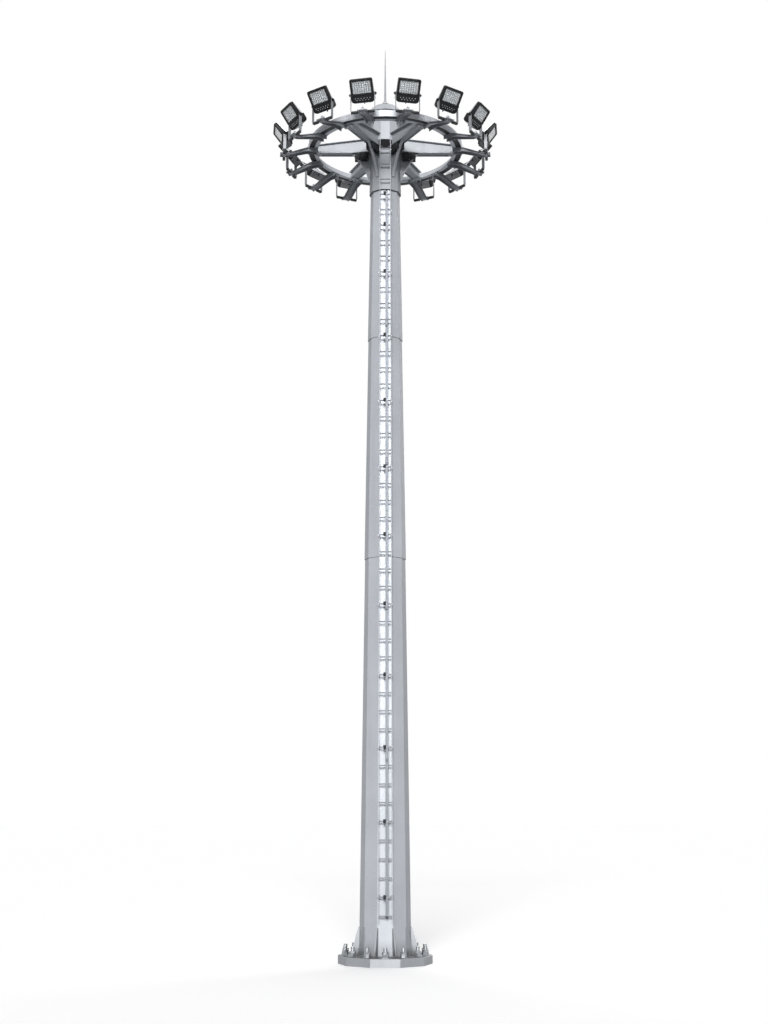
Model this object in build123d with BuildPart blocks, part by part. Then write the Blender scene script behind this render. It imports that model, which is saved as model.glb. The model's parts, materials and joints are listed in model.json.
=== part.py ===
"""High mast floodlight tower: bolted base, three-section polygonal shaft, ladder,
and a fixed head ring that carries tilting floodlights on yokes.

Millimetres, +Z up. The origin is the centre of the base flange's underside.
The ladder is on the -Y side, which is called the front. Azimuths are measured
from the front, positive towards +X.
"""
import os
from collections import namedtuple
from itertools import pairwise
from math import atan2, cos, degrees, hypot, pi, radians, sin

from build123d import *

os.makedirs("parts", exist_ok=True)

# ---------------------------------------------------------------- driving sizes
seat_gap = 0.3              # clearance where curved or turning faces meet

# base flange and its anchors
shaft_sides = 10
flange_radius = 866         # over the corners
flange_thickness = 155
flange_chamfer = 10
bolt_count = 14
bolt_circle_radius = 748
bolt_diameter = 70
bolt_hole_clearance = 4     # all round
bolt_rise = 180             # above the flange's top
thread_end_diameter = 67    # above the nuts
washer_side = 122
washer_thickness = 12
nut_across_flats = 104
nut_height = 56
lock_nut_height = 36
lock_nut_turn = 25
gusset_height = 500
gusset_reach = 622          # radius of the outer end
gusset_toe = 30             # height of the outer end
gusset_thickness = 26

# shaft, radii over the corners
shaft_wall = 9
slip_lap = 570
slip_clearance = 0.5
slip_joint_1 = 7480
slip_joint_2 = 11920
shaft_top = 16710
lower_foot_radius = 478
middle_foot_radius = 401
upper_foot_radius = 347
upper_top_radius = 267

# ladder and fall-arrest rail
ladder_foot = 755
ladder_drop = 600           # top end below the shaft's top
ladder_stand_off = 120
ladder_foot_width = 268
ladder_top_width = 222
rail_thickness = 12
rail_depth = 45
rung_size = 22
rung_pitch = 334
rung_start = 111            # first rung above the ladder's foot
rungs_per_stand_off = 4
first_stand_off_rung = 1
top_clamp_step = 2          # rungs between the last two clamps
clamp_width = 88
clamp_height = 56
clamp_offset = 12           # clamps' middle beside the ladder's middle
clamp_lip = 8
safety_rail_offset = 28     # rail's middle beside the ladder's middle, clear of the boots
safety_rail_width = 46
safety_rail_depth = 24
safety_rail_wall = 4
safety_rail_slot = 22
safety_rail_start = 110     # above the ladder's foot
safety_rail_drop = 1750     # top end below the shaft's top
standoff_height = 40
standoff_thickness = 10

# head: collar, drum, cap and rod
collar_drop = 1655          # foot below the shaft's top
collar_height = 895
collar_stand_off = 27       # outside of the shaft, over the corners
drum_height = 540           # down from the shaft's top
drum_radius = 300
jacket_wall = 12
cap_radius = 458
cap_rim_height = 26
cap_wall = 6
cap_rise = 350
cap_sides = 20
cap_shoulder_radius = 285
cap_shoulder_rise = 225
cap_seat_radius = 44
rod_socket_radius = 38
rod_socket_height = 40
rod_foot_radius = 24
rod_tip_radius = 5
rod_height = 1230
rod_sides = 12

# ring, a rolled hat section with an inner lip
ring_radius = 1580
ring_drop = 710             # foot below the shaft's top
ring_height = 132
ring_wall = 12
ring_channel_width = 128
ring_lip = 66
arm_count = 6
arm_first_azimuth = 30

# arms that carry the ring, with knees below and junction boxes beside the knees
arm_web = 12
arm_flange = 12
arm_foot_flange_width = 180
arm_foot_lip = 26
arm_foot_lip_thickness = 9
arm_top_flange_width = 120
arm_root_height = 320
arm_tip_rise = 30           # above the ring's top
knee_reach = 690
knee_waist_radius = 435
knee_waist_drop = 330       # below the arm
knee_drop = 640             # below the arm
knee_flange = 10
knee_flange_width = 60
box_inner_radius = 350
box_length = 150
box_height = 168
box_depth = 60

# outriggers and yokes
lamp_count = 15
outrigger_width = 190
outrigger_plate = 12
outrigger_drop = 135        # the yoke's seat below the ring's foot
outrigger_level = 34        # level stretch past the ring
outrigger_seat = 170        # level stretch under the yoke
outrigger_inset = 8         # from the ring's inner edge
rib_thickness = 10
rib_spread = 130            # between the middles of the ribs
rib_root_depth = 62
rib_tip_depth = 18
yoke_radius = 2075
yoke_pivot_height = 355     # above the outrigger
yoke_depth = 60
yoke_wall = 7
yoke_bend = 22

# floodlight, in its own frame with the pivot as the origin
lamp_width = 450
lamp_tilt = 37              # aim below the horizon
face_offset = 60            # front face in front of the pivot
head_rise = 302             # top edge above the pivot
driver_drop = 146           # bottom edge below the pivot
head_top_depth = 62
head_root_depth = 94
driver_depth = 156
driver_corner = 44
driver_top = 6
fin_count = 8
fin_thickness = 6
fin_top_depth = 24
fin_root_depth = 46
glass_width = 386
glass_height = 250
glass_foot = 12             # above the pivot
glass_thickness = 5
glass_setback = 4
glass_ledge = 10
led_recess = 14
housing_wall = 6
pivot_boss_width = 56
pivot_boss_length = 7
pivot_bolt_diameter = 16
pivot_running_gap = 0.05
knob_sides = 8
knob_diameter = 64
knob_length = 18

# ---------------------------------------------------------------- worked out
apothem_share = cos(pi / shaft_sides)
Section = namedtuple("Section", "foot top foot_radius top_radius")


def radius_at(section, height):
    """Radius of a shaft section over its corners at a height."""
    share = (height - section.foot) / (section.top - section.foot)
    return section.foot_radius + share * (section.top_radius - section.foot_radius)


def draft(section):
    """Draft angle of a section's flats, in degrees."""
    shrink = (section.foot_radius - section.top_radius) * apothem_share
    return degrees(atan2(shrink, section.top - section.foot))


def lapped_radius(outer, height):
    """Radius that fits inside another section at a height."""
    return radius_at(outer, height) - shaft_wall / apothem_share - slip_clearance


def lapped_top(outer, foot, foot_radius, top):
    """Top radius of a section that fits inside another from its mouth to its own top."""
    share = (outer.foot - foot) / (top - foot)
    through_mouth = foot_radius + (lapped_radius(outer, outer.foot) - foot_radius) / share
    return min(lapped_radius(outer, top), through_mouth)


upper = Section(slip_joint_2, shaft_top, upper_foot_radius, upper_top_radius)
middle_top = slip_joint_2 + slip_lap
middle_top_radius = lapped_top(upper, slip_joint_1, middle_foot_radius, middle_top)
middle = Section(slip_joint_1, middle_top, middle_foot_radius, middle_top_radius)
lower_top = slip_joint_1 + slip_lap
lower_top_radius = lapped_top(middle, flange_thickness, lower_foot_radius, lower_top)
lower = Section(flange_thickness, lower_top, lower_foot_radius, lower_top_radius)
collar_foot = shaft_top - collar_drop
collar_top = collar_foot + collar_height
drum_foot = shaft_top - drum_height
ring_foot = shaft_top - ring_drop
ladder_top = shaft_top - ladder_drop
safety_rail_top = shaft_top - safety_rail_drop
collar = Section(
    collar_foot,
    collar_top,
    radius_at(upper, collar_foot) + collar_stand_off,
    radius_at(upper, collar_top) + collar_stand_off,
)
drum = Section(drum_foot, shaft_top, drum_radius, drum_radius)


def envelope(section):
    """The filled outer shape of a shaft section, used as a cutter."""
    with BuildPart() as filled:
        with BuildSketch(Plane.XY.offset(section.foot)):
            RegularPolygon(section.foot_radius, shaft_sides)
        extrude(amount=section.top - section.foot, taper=draft(section))
    return filled.part


def azimuth_plane(azimuth):
    """Upright plane through the axis: local X points outwards, local Y up."""
    outward = Vector(sin(radians(azimuth)), -cos(radians(azimuth)), 0)
    return Plane(origin=(0, 0, 0), x_dir=outward, z_dir=outward.cross(Vector(0, 0, 1)))


def save(name, finished):
    """Label a finished piece and write its STEP file."""
    finished.label = name
    export_step(finished, f"parts/{name}.step")


lower_envelope = envelope(lower)
middle_envelope = envelope(middle)
upper_envelope = envelope(upper)
collar_envelope = envelope(collar)
drum_envelope = envelope(drum)

# ---------------------------------------------------------------- base
bolt_hole_radius = bolt_diameter / 2 + bolt_hole_clearance
with BuildPart() as base_flange:
    with BuildSketch():
        RegularPolygon(flange_radius, shaft_sides)
        with PolarLocations(bolt_circle_radius, bolt_count, start_angle=-90):
            Circle(bolt_hole_radius, mode=Mode.SUBTRACT)
    extrude(amount=flange_thickness)
    rim_edges = base_flange.edges().group_by(Axis.Z)[-1].filter_by(GeomType.LINE)
    chamfer(rim_edges, flange_chamfer)
save("base_flange", base_flange.part)

with BuildPart() as base_gussets:
    for corner in range(shaft_sides):
        with BuildSketch(azimuth_plane(360 / shaft_sides * (corner + 0.5))):
            Polygon(
                (lower_foot_radius / 2, flange_thickness),
                (gusset_reach, flange_thickness),
                (gusset_reach, flange_thickness + gusset_toe),
                (lower_foot_radius + gusset_toe / 2, flange_thickness + gusset_height),
                (lower_foot_radius / 2, flange_thickness + gusset_height),
                align=None,
            )
        extrude(amount=gusset_thickness / 2, both=True)
    add(lower_envelope, mode=Mode.SUBTRACT)
save("base_gussets", base_gussets.part)

nuts_top = flange_thickness + washer_thickness + nut_height + lock_nut_height
with BuildPart() as anchor_studs:
    with BuildSketch():
        with PolarLocations(bolt_circle_radius, bolt_count, start_angle=-90):
            Circle(bolt_diameter / 2)
    extrude(amount=nuts_top)
    with BuildSketch(Plane.XY.offset(nuts_top)):
        with PolarLocations(bolt_circle_radius, bolt_count, start_angle=-90):
            Circle(thread_end_diameter / 2)
    extrude(amount=flange_thickness + bolt_rise - nuts_top)
save("anchor_studs", anchor_studs.part)

with BuildPart() as anchor_nuts:
    with BuildSketch(Plane.XY.offset(flange_thickness)):
        with PolarLocations(bolt_circle_radius, bolt_count, start_angle=-90):
            Rectangle(washer_side, washer_side)
    extrude(amount=washer_thickness)
    with BuildSketch(Plane.XY.offset(flange_thickness + washer_thickness)):
        with PolarLocations(bolt_circle_radius, bolt_count, start_angle=-90):
            RegularPolygon(nut_across_flats / 2, 6, major_radius=False)
    extrude(amount=nut_height)
    with BuildSketch(Plane.XY.offset(nuts_top - lock_nut_height)):
        with PolarLocations(bolt_circle_radius, bolt_count, start_angle=-90):
            RegularPolygon(nut_across_flats / 2, 6, major_radius=False, rotation=lock_nut_turn)
    extrude(amount=lock_nut_height)
    with BuildSketch(Plane.XY.offset(flange_thickness)):
        with PolarLocations(bolt_circle_radius, bolt_count, start_angle=-90):
            Circle(bolt_diameter / 2 + seat_gap)
    extrude(amount=nuts_top - flange_thickness, mode=Mode.SUBTRACT)
save("anchor_nuts", anchor_nuts.part)


# ---------------------------------------------------------------- shaft
def shaft_tube(section):
    """A tapered polygonal tube, folded from plate and welded."""
    wall = shaft_wall / apothem_share
    length = section.top - section.foot
    with BuildPart() as tube:
        with BuildSketch(Plane.XY.offset(section.foot)):
            RegularPolygon(section.foot_radius, shaft_sides)
        extrude(amount=length, taper=draft(section))
        with BuildSketch(Plane.XY.offset(section.foot)):
            RegularPolygon(section.foot_radius - wall, shaft_sides)
        extrude(amount=length, taper=draft(section), mode=Mode.SUBTRACT)
    return tube.part


save("shaft_lower", shaft_tube(lower))
save("shaft_middle", shaft_tube(middle))
save("shaft_upper", shaft_tube(upper))

# ---------------------------------------------------------------- ladder
foot_back = radius_at(lower, ladder_foot) * apothem_share + ladder_stand_off
top_back = radius_at(upper, ladder_top) * apothem_share + ladder_stand_off
ladder_length = hypot(ladder_top - ladder_foot, foot_back - top_back)
ladder_lean = atan2(foot_back - top_back, ladder_top - ladder_foot)
# back of the rails: local X across, local Y up the ladder, local Z to the front
ladder_plane = Plane(
    origin=(0, -foot_back, ladder_foot),
    x_dir=(1, 0, 0),
    z_dir=(0, -cos(ladder_lean), sin(ladder_lean)),
)
rung_count = int((ladder_length - rung_start) / rung_pitch) + 1
rung_places = [rung_start + rung * rung_pitch for rung in range(rung_count)]
stand_off_places = rung_places[first_stand_off_rung::rungs_per_stand_off]
rail_length = safety_rail_top - ladder_foot - safety_rail_start
last_clamp_rung = int((safety_rail_top - ladder_foot - rung_start) / rung_pitch)
clamp_rungs = list(range(first_stand_off_rung, last_clamp_rung - rungs_per_stand_off, rungs_per_stand_off))
clamp_rungs += [last_clamp_rung - top_clamp_step, last_clamp_rung]
clamp_places = [rung_places[rung] for rung in clamp_rungs]
rung_back = (rail_depth - rung_size) / 2


def ladder_half_width(place):
    """Half of the ladder's outside width at a place along it."""
    share = place / ladder_length
    return (ladder_foot_width + share * (ladder_top_width - ladder_foot_width)) / 2


with BuildPart() as ladder_rails:
    for side in (-1, 1):
        with BuildSketch(ladder_plane):
            Polygon(
                (side * ladder_half_width(0), 0),
                (side * ladder_half_width(ladder_length), ladder_length),
                (side * (ladder_half_width(ladder_length) - rail_thickness), ladder_length),
                (side * (ladder_half_width(0) - rail_thickness), 0),
                align=None,
            )
        extrude(amount=rail_depth)
save("ladder_rails", ladder_rails.part)

with BuildPart() as ladder_rungs:
    with BuildSketch(ladder_plane.offset(rung_back)):
        for place in rung_places:
            low, high = place - rung_size / 2, place + rung_size / 2
            low_end = ladder_half_width(low) - rail_thickness
            high_end = ladder_half_width(high) - rail_thickness
            Polygon((-low_end, low), (low_end, low), (high_end, high), (-high_end, high), align=None)
    extrude(amount=rung_size)
save("ladder_rungs", ladder_rungs.part)

with BuildPart() as safety_rail:
    rail_foot = ladder_plane.offset(rail_depth).shift_origin(
        ladder_plane.offset(rail_depth).from_local_coords((safety_rail_offset, safety_rail_start, 0))
    )
    across = Plane(origin=rail_foot.origin, x_dir=(1, 0, 0), z_dir=ladder_plane.y_dir)
    with BuildSketch(across):
        # local Y of this sketch points to the back, so the rail grows to -Y
        with Locations((0, -safety_rail_depth / 2)):
            Rectangle(safety_rail_width, safety_rail_depth)
            inner_width = safety_rail_width - 2 * safety_rail_wall
            Rectangle(inner_width, safety_rail_depth - 2 * safety_rail_wall, mode=Mode.SUBTRACT)
        with Locations((0, -safety_rail_depth)):
            Rectangle(safety_rail_slot, 3 * safety_rail_wall, mode=Mode.SUBTRACT)
    extrude(amount=rail_length)
save("safety_rail", safety_rail.part)

with BuildPart() as safety_clamps:
    clamp_back = rung_back + rung_size
    with BuildSketch(ladder_plane.offset(clamp_back)):
        for place in clamp_places:
            with Locations((clamp_offset, place)):
                Rectangle(clamp_width, clamp_height)
    extrude(amount=rail_depth - clamp_back + safety_rail_depth - clamp_lip)
    add(safety_rail.part, mode=Mode.SUBTRACT)
    # the hollow of the rail stays free for the slider
    with BuildSketch(ladder_plane.offset(rail_depth + safety_rail_wall / 2)):
        with Locations((safety_rail_offset, ladder_length / 2)):
            Rectangle(safety_rail_width - safety_rail_wall, 2 * ladder_length)
    extrude(amount=safety_rail_depth, mode=Mode.SUBTRACT)
save("safety_clamps", safety_clamps.part)

with BuildPart() as ladder_standoffs:
    with BuildSketch(ladder_plane):
        for place in stand_off_places:
            inset = ladder_half_width(place) - rail_thickness / 2
            with Locations((-inset, place), (inset, place)):
                Rectangle(standoff_thickness, standoff_height)
    extrude(amount=-2 * ladder_stand_off)
    for core in (lower_envelope, middle_envelope, upper_envelope, collar_envelope):
        add(core, mode=Mode.SUBTRACT)
save("ladder_standoffs", ladder_standoffs.part)


# ---------------------------------------------------------------- head
def jacket(section):
    """A hollow polygonal sleeve round the upper shaft, closed by a plate at each end."""
    length = section.top - section.foot
    inner_foot = section.foot + jacket_wall
    inner_radius = radius_at(section, inner_foot) - jacket_wall / apothem_share
    with BuildPart() as sleeve:
        with BuildSketch(Plane.XY.offset(section.foot)):
            RegularPolygon(section.foot_radius, shaft_sides)
        extrude(amount=length, taper=draft(section))
        with BuildSketch(Plane.XY.offset(inner_foot)):
            RegularPolygon(inner_radius, shaft_sides)
        extrude(amount=length - 2 * jacket_wall, taper=draft(section), mode=Mode.SUBTRACT)
        add(upper_envelope, mode=Mode.SUBTRACT)
    return sleeve.part


save("head_collar", jacket(collar))
save("head_drum", jacket(drum))

# cap: a skirt and two pyramid bands, folded from plate over a closed bottom
cap_rim = shaft_top + cap_rim_height
cap_apex = cap_rim + cap_rise
cap_apothem_share = cos(pi / cap_sides)
cap_levels = [
    (cap_rim, cap_radius),
    (cap_rim + cap_shoulder_rise, cap_shoulder_radius),
    (cap_apex, cap_seat_radius),
]
with BuildPart() as cap_dome:
    for inset, mode in ((0, Mode.ADD), (cap_wall, Mode.SUBTRACT)):
        with BuildSketch(Plane.XY.offset(shaft_top + inset)):
            RegularPolygon(cap_radius - inset / cap_apothem_share, cap_sides)
        extrude(amount=cap_rim_height - inset, mode=mode)
        for (foot, foot_radius), (top, top_radius) in pairwise(cap_levels):
            slope = atan2((foot_radius - top_radius) * cap_apothem_share, top - foot)
            with BuildSketch(Plane.XY.offset(foot)):
                RegularPolygon(foot_radius - inset / cap_apothem_share / cos(slope), cap_sides)
            extrude(amount=top - foot - inset, taper=degrees(slope), mode=mode)
save("cap_dome", cap_dome.part)

rod_foot = cap_apex + rod_socket_height
rod_length = rod_height - rod_socket_height
rod_taper = degrees(atan2((rod_foot_radius - rod_tip_radius) * cos(pi / rod_sides), rod_length))
with BuildPart() as lightning_rod:
    with BuildSketch(Plane.XY.offset(cap_apex)):
        RegularPolygon(rod_socket_radius, rod_sides)
    extrude(amount=rod_socket_height)
    with BuildSketch(Plane.XY.offset(rod_foot)):
        RegularPolygon(rod_foot_radius, rod_sides)
    extrude(amount=rod_length, taper=rod_taper)
    chamfer(lightning_rod.edges().group_by(Axis.Z)[-1], rod_tip_radius / 2)
save("lightning_rod", lightning_rod.part)

# ring, spliced at the arms
channel_inner = ring_radius - ring_channel_width
lip_radius = channel_inner - ring_lip
ring_top = ring_foot + ring_height
bay = 360 / arm_count
for segment in range(arm_count):
    with BuildPart() as ring_segment:
        with BuildSketch(azimuth_plane(arm_first_azimuth + segment * bay)):
            Polygon(
                (ring_radius, ring_foot),
                (ring_radius, ring_top),
                (channel_inner, ring_top),
                (channel_inner, ring_foot + ring_wall),
                (lip_radius, ring_foot + ring_wall),
                (lip_radius, ring_foot),
                (channel_inner + ring_wall, ring_foot),
                (channel_inner + ring_wall, ring_top - ring_wall),
                (ring_radius - ring_wall, ring_top - ring_wall),
                (ring_radius - ring_wall, ring_foot),
                align=None,
            )
        revolve(axis=Axis.Z, revolution_arc=bay)
    save(f"ring_segment_{segment + 1}", ring_segment.part)

# arms: a web between a lipped foot flange and a top flange
arm_foot = ring_foot - arm_flange
arm_root_top = arm_foot + arm_root_height
arm_start = collar.foot_radius / 2      # inside the shaft, trimmed to it
with BuildPart() as ring_clearance:
    with BuildSketch(Plane.XY.offset(ring_foot + ring_wall)):
        Circle(ring_radius + ring_channel_width)
        Circle(channel_inner - seat_gap, mode=Mode.SUBTRACT)
    extrude(amount=ring_height)
    with BuildSketch(Plane.XY.offset(ring_foot - 2 * arm_flange)):
        Circle(ring_radius + ring_channel_width)
        Circle(lip_radius - seat_gap, mode=Mode.SUBTRACT)
    extrude(amount=2 * arm_flange + ring_wall)

tip_top = ring_top + arm_tip_rise
with BuildPart() as head_arms:
    for arm in range(arm_count):
        plane = azimuth_plane(arm_first_azimuth + arm * bay)
        with BuildSketch(plane):
            Polygon(
                (arm_start, arm_foot),
                (lip_radius, arm_foot),
                (lip_radius, ring_foot + ring_wall),
                (channel_inner, ring_foot + ring_wall),
                (channel_inner, tip_top),
                (drum_radius, arm_root_top),
                (arm_start, arm_root_top),
                align=None,
            )
        extrude(amount=arm_web / 2, both=True)
        with BuildSketch(plane):
            Polygon(
                (arm_start, arm_foot),
                (lip_radius, arm_foot),
                (lip_radius, arm_foot + arm_flange),
                (arm_start, arm_foot + arm_flange),
                align=None,
            )
        extrude(amount=arm_foot_flange_width / 2, both=True)
        with BuildSketch(plane):
            Polygon(
                (knee_reach, arm_foot - arm_foot_lip),
                (lip_radius, arm_foot - arm_foot_lip),
                (lip_radius, arm_foot + arm_flange),
                (box_inner_radius, arm_foot + arm_flange),
                (box_inner_radius, arm_foot),
                align=None,
            )
        extrude(amount=arm_foot_flange_width / 2, both=True)
        with BuildSketch(plane):
            Polygon(
                (box_inner_radius - arm_foot_lip, arm_foot - arm_foot_lip),
                (lip_radius + arm_foot_lip, arm_foot - arm_foot_lip),
                (lip_radius + arm_foot_lip, arm_foot),
                (box_inner_radius - arm_foot_lip, arm_foot),
                align=None,
            )
        extrude(
            amount=arm_foot_flange_width / 2 - arm_foot_lip_thickness, both=True, mode=Mode.SUBTRACT
        )
        with BuildSketch(plane):
            Polygon(
                (arm_start, arm_root_top),
                (drum_radius, arm_root_top),
                (channel_inner, tip_top),
                (channel_inner, tip_top - arm_flange),
                (drum_radius, arm_root_top - arm_flange),
                (arm_start, arm_root_top - arm_flange),
                align=None,
            )
        extrude(amount=arm_top_flange_width / 2, both=True)
    for core in (upper_envelope, collar_envelope, drum_envelope, ring_clearance.part):
        add(core, mode=Mode.SUBTRACT)
save("head_arms", head_arms.part)

# knees: a web with a curved flange, from the collar up to the arm
knee_foot = arm_foot - knee_drop
with BuildPart() as arm_knees:
    for arm in range(arm_count):
        plane = azimuth_plane(arm_first_azimuth + arm * bay)
        with BuildSketch(plane):
            with BuildLine():
                knee_line = ThreePointArc(
                    (radius_at(collar, knee_foot), knee_foot),
                    (knee_waist_radius, arm_foot - knee_waist_drop),
                    (knee_reach, arm_foot),
                )
                Polyline(
                    (knee_reach, arm_foot),
                    (arm_start, arm_foot),
                    (arm_start, knee_foot),
                    (radius_at(collar, knee_foot), knee_foot),
                )
            make_face()
        extrude(amount=arm_web / 2, both=True)
        with BuildSketch(plane):
            with BuildLine():
                add(knee_line)
            trace(line_width=2 * knee_flange)
        extrude(amount=knee_flange_width / 2, both=True)
    split(bisect_by=Plane.XY.offset(arm_foot), keep=Keep.BOTTOM)
    for core in (upper_envelope, collar_envelope):
        add(core, mode=Mode.SUBTRACT)
save("arm_knees", arm_knees.part)

with BuildPart() as junction_boxes:
    for arm in range(arm_count):
        for side in (-1, 1):
            plane = azimuth_plane(arm_first_azimuth + arm * bay).offset(side * (arm_web / 2 + seat_gap))
            with BuildSketch(plane):
                Polygon(
                    (box_inner_radius, arm_foot - box_height),
                    (box_inner_radius + box_length, arm_foot - box_height),
                    (box_inner_radius + box_length, arm_foot),
                    (box_inner_radius, arm_foot),
                    align=None,
                )
            extrude(amount=side * box_depth)
save("junction_boxes", junction_boxes.part)

# ---------------------------------------------------------------- outriggers and yokes
outrigger_top = ring_foot - outrigger_drop
outrigger_root = lip_radius + outrigger_inset
outrigger_tip = yoke_radius + outrigger_seat / 2
crank_start = ring_radius + outrigger_level
crank_end = yoke_radius - outrigger_seat / 2
pivot_height = outrigger_top + yoke_pivot_height
lamp_azimuths = [360 / lamp_count * (lamp + 0.5) for lamp in range(lamp_count)]

# a cranked plate on two ribs
with BuildPart() as outrigger:
    with BuildSketch(azimuth_plane(0)):
        Polygon(
            (outrigger_root, ring_foot),
            (crank_start, ring_foot),
            (crank_end, outrigger_top),
            (outrigger_tip, outrigger_top),
            (outrigger_tip, outrigger_top - outrigger_plate),
            (crank_end, outrigger_top - outrigger_plate),
            (crank_start, ring_foot - outrigger_plate),
            (outrigger_root, ring_foot - outrigger_plate),
            align=None,
        )
    extrude(amount=outrigger_width / 2, both=True)
    for side in (-1, 1):
        with BuildSketch(azimuth_plane(0).offset((side * rib_spread - rib_thickness) / 2)):
            Polygon(
                (outrigger_root, ring_foot - outrigger_plate / 2),
                (crank_start, ring_foot - outrigger_plate / 2),
                (crank_end, outrigger_top - outrigger_plate / 2),
                (outrigger_tip, outrigger_top - outrigger_plate / 2),
                (outrigger_tip, outrigger_top - outrigger_plate - rib_tip_depth),
                (crank_end, outrigger_top - outrigger_plate - rib_tip_depth),
                (crank_start, ring_foot - outrigger_plate - rib_root_depth),
                (outrigger_root, ring_foot - outrigger_plate - rib_root_depth),
                align=None,
            )
        extrude(amount=rib_thickness)

with BuildPart() as outriggers:
    for azimuth in lamp_azimuths:
        add(outrigger.part.rotate(Axis.Z, azimuth))
save("outriggers", outriggers.part)

lamp_half = lamp_width / 2
leg_inner = lamp_half + pivot_boss_length + seat_gap
leg_outer = leg_inner + yoke_wall
with BuildPart() as yoke:
    with BuildSketch(Plane.XZ.offset(yoke_radius)):
        yoke_head = pivot_height + yoke_depth / 2
        Polygon(
            (-leg_outer, yoke_head),
            (-leg_outer, outrigger_top),
            (leg_outer, outrigger_top),
            (leg_outer, yoke_head),
            (leg_inner, yoke_head),
            (leg_inner, outrigger_top + yoke_wall),
            (-leg_inner, outrigger_top + yoke_wall),
            (-leg_inner, yoke_head),
            align=None,
        )
    extrude(amount=yoke_depth / 2, both=True)
    fillet(yoke.edges().filter_by(Axis.Y).group_by(Axis.Z)[0], yoke_bend)
    chamfer(yoke.edges().filter_by(Axis.X).group_by(Axis.Z)[-1], yoke_depth / 4)
    with Locations(Location((0, -yoke_radius, pivot_height), (0, 90, 0))):
        Cylinder(
            pivot_bolt_diameter / 2 + pivot_running_gap,
            3 * leg_outer,
            mode=Mode.SUBTRACT,
        )

with BuildPart() as yokes:
    for azimuth in lamp_azimuths:
        add(yoke.part.rotate(Axis.Z, azimuth))
save("yokes", yokes.part)

# ---------------------------------------------------------------- floodlights
aim = radians(lamp_tilt)
# local X is the aim, local Y is up the face, local Z is across the lamp
lamp_plane = Plane(
    origin=(0, -yoke_radius, pivot_height),
    x_dir=(0, -cos(aim), -sin(aim)),
    z_dir=(-1, 0, 0),
)
face_plane = Plane(
    origin=lamp_plane.from_local_coords((face_offset, 0, 0)),
    x_dir=(1, 0, 0),
    z_dir=lamp_plane.x_dir,
)
head_back_top = face_offset - head_top_depth
head_back_root = face_offset - head_root_depth
driver_back = face_offset - driver_depth
glass_middle = glass_foot + glass_height / 2
panel_back = face_offset - glass_setback - glass_thickness - led_recess - housing_wall
with BuildPart() as housing:
    with BuildSketch(lamp_plane):
        Polygon(
            (face_offset, head_rise),
            (face_offset, 0),
            (head_back_root, 0),
            (head_back_root, driver_top),
            (head_back_top, head_rise),
            align=None,
        )
    extrude(amount=lamp_half, both=True)
    with BuildSketch(face_plane) as driver_outline:
        Polygon(
            (-lamp_half, driver_top),
            (-lamp_half, driver_corner - driver_drop),
            (driver_corner - lamp_half, -driver_drop),
            (lamp_half - driver_corner, -driver_drop),
            (lamp_half, driver_corner - driver_drop),
            (lamp_half, driver_top),
            align=None,
        )
    extrude(amount=-driver_depth)
    fin_pitch = (lamp_width - fin_thickness) / (fin_count - 1)
    for fin in range(fin_count):
        across = -lamp_half + fin * fin_pitch
        with BuildSketch(lamp_plane.offset(across)):
            Polygon(
                (head_back_root, driver_top),
                (head_back_root - fin_root_depth, driver_top),
                (head_back_top - fin_top_depth, head_rise - fin_top_depth),
                (head_back_top, head_rise),
                align=None,
            )
        extrude(amount=fin_thickness)
    with BuildSketch(face_plane):
        with Locations((0, glass_middle)):
            Rectangle(glass_width + 2 * seat_gap, glass_height + 2 * seat_gap)
    extrude(amount=-(glass_setback + glass_thickness + seat_gap), mode=Mode.SUBTRACT)
    with BuildSketch(face_plane):
        with Locations((0, glass_middle)):
            Rectangle(glass_width - 2 * glass_ledge, glass_height - 2 * glass_ledge)
    extrude(amount=-(glass_setback + glass_thickness + led_recess), mode=Mode.SUBTRACT)
    # the closed space for the drivers and, above it, behind the light panel
    with BuildSketch(face_plane.offset(-housing_wall)):
        add(driver_outline.sketch_local)
        offset(amount=-housing_wall)
    extrude(amount=-(driver_depth - 2 * housing_wall), mode=Mode.SUBTRACT)
    with BuildSketch(lamp_plane):
        Polygon(
            (panel_back, head_rise - housing_wall),
            (panel_back, driver_top - 2 * housing_wall),
            (head_back_root + housing_wall, driver_top - 2 * housing_wall),
            (head_back_root + housing_wall, driver_top),
            (head_back_top + housing_wall, head_rise - housing_wall),
            align=None,
        )
    extrude(amount=lamp_half - housing_wall, both=True, mode=Mode.SUBTRACT)
    # pivots: a pad against the yoke, a bolt through it and a clamping knob outside
    knob_inner = leg_outer + seat_gap
    for side in (-1, 1):
        with BuildSketch(lamp_plane.offset(side * lamp_half)):
            Rectangle(pivot_boss_width, pivot_boss_width)
        extrude(amount=side * pivot_boss_length)
        with BuildSketch(lamp_plane.offset(side * lamp_half)):
            Circle(pivot_bolt_diameter / 2)
        extrude(amount=side * (knob_inner - lamp_half))
        with BuildSketch(lamp_plane.offset(side * knob_inner)):
            RegularPolygon(knob_diameter / 2, knob_sides)
        extrude(amount=side * knob_length)

with BuildPart() as glass:
    with BuildSketch(face_plane.offset(-glass_setback)):
        with Locations((0, glass_middle)):
            Rectangle(glass_width, glass_height)
    extrude(amount=-glass_thickness)

for lamp, azimuth in enumerate(lamp_azimuths, start=1):
    with BuildPart() as floodlight:
        add(housing.part.rotate(Axis.Z, azimuth))
    save(f"floodlight_{lamp:02d}", floodlight.part)
    with BuildPart() as lens:
        add(glass.part.rotate(Axis.Z, azimuth))
    save(f"lens_{lamp:02d}", lens.part)

print(f"rungs {rung_count}, clamps {len(clamp_places)}, stand-offs {2 * len(stand_off_places)}")
print(f"pivot height {pivot_height}, lamp tilt {lamp_tilt}, arm foot {arm_foot}")
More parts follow.
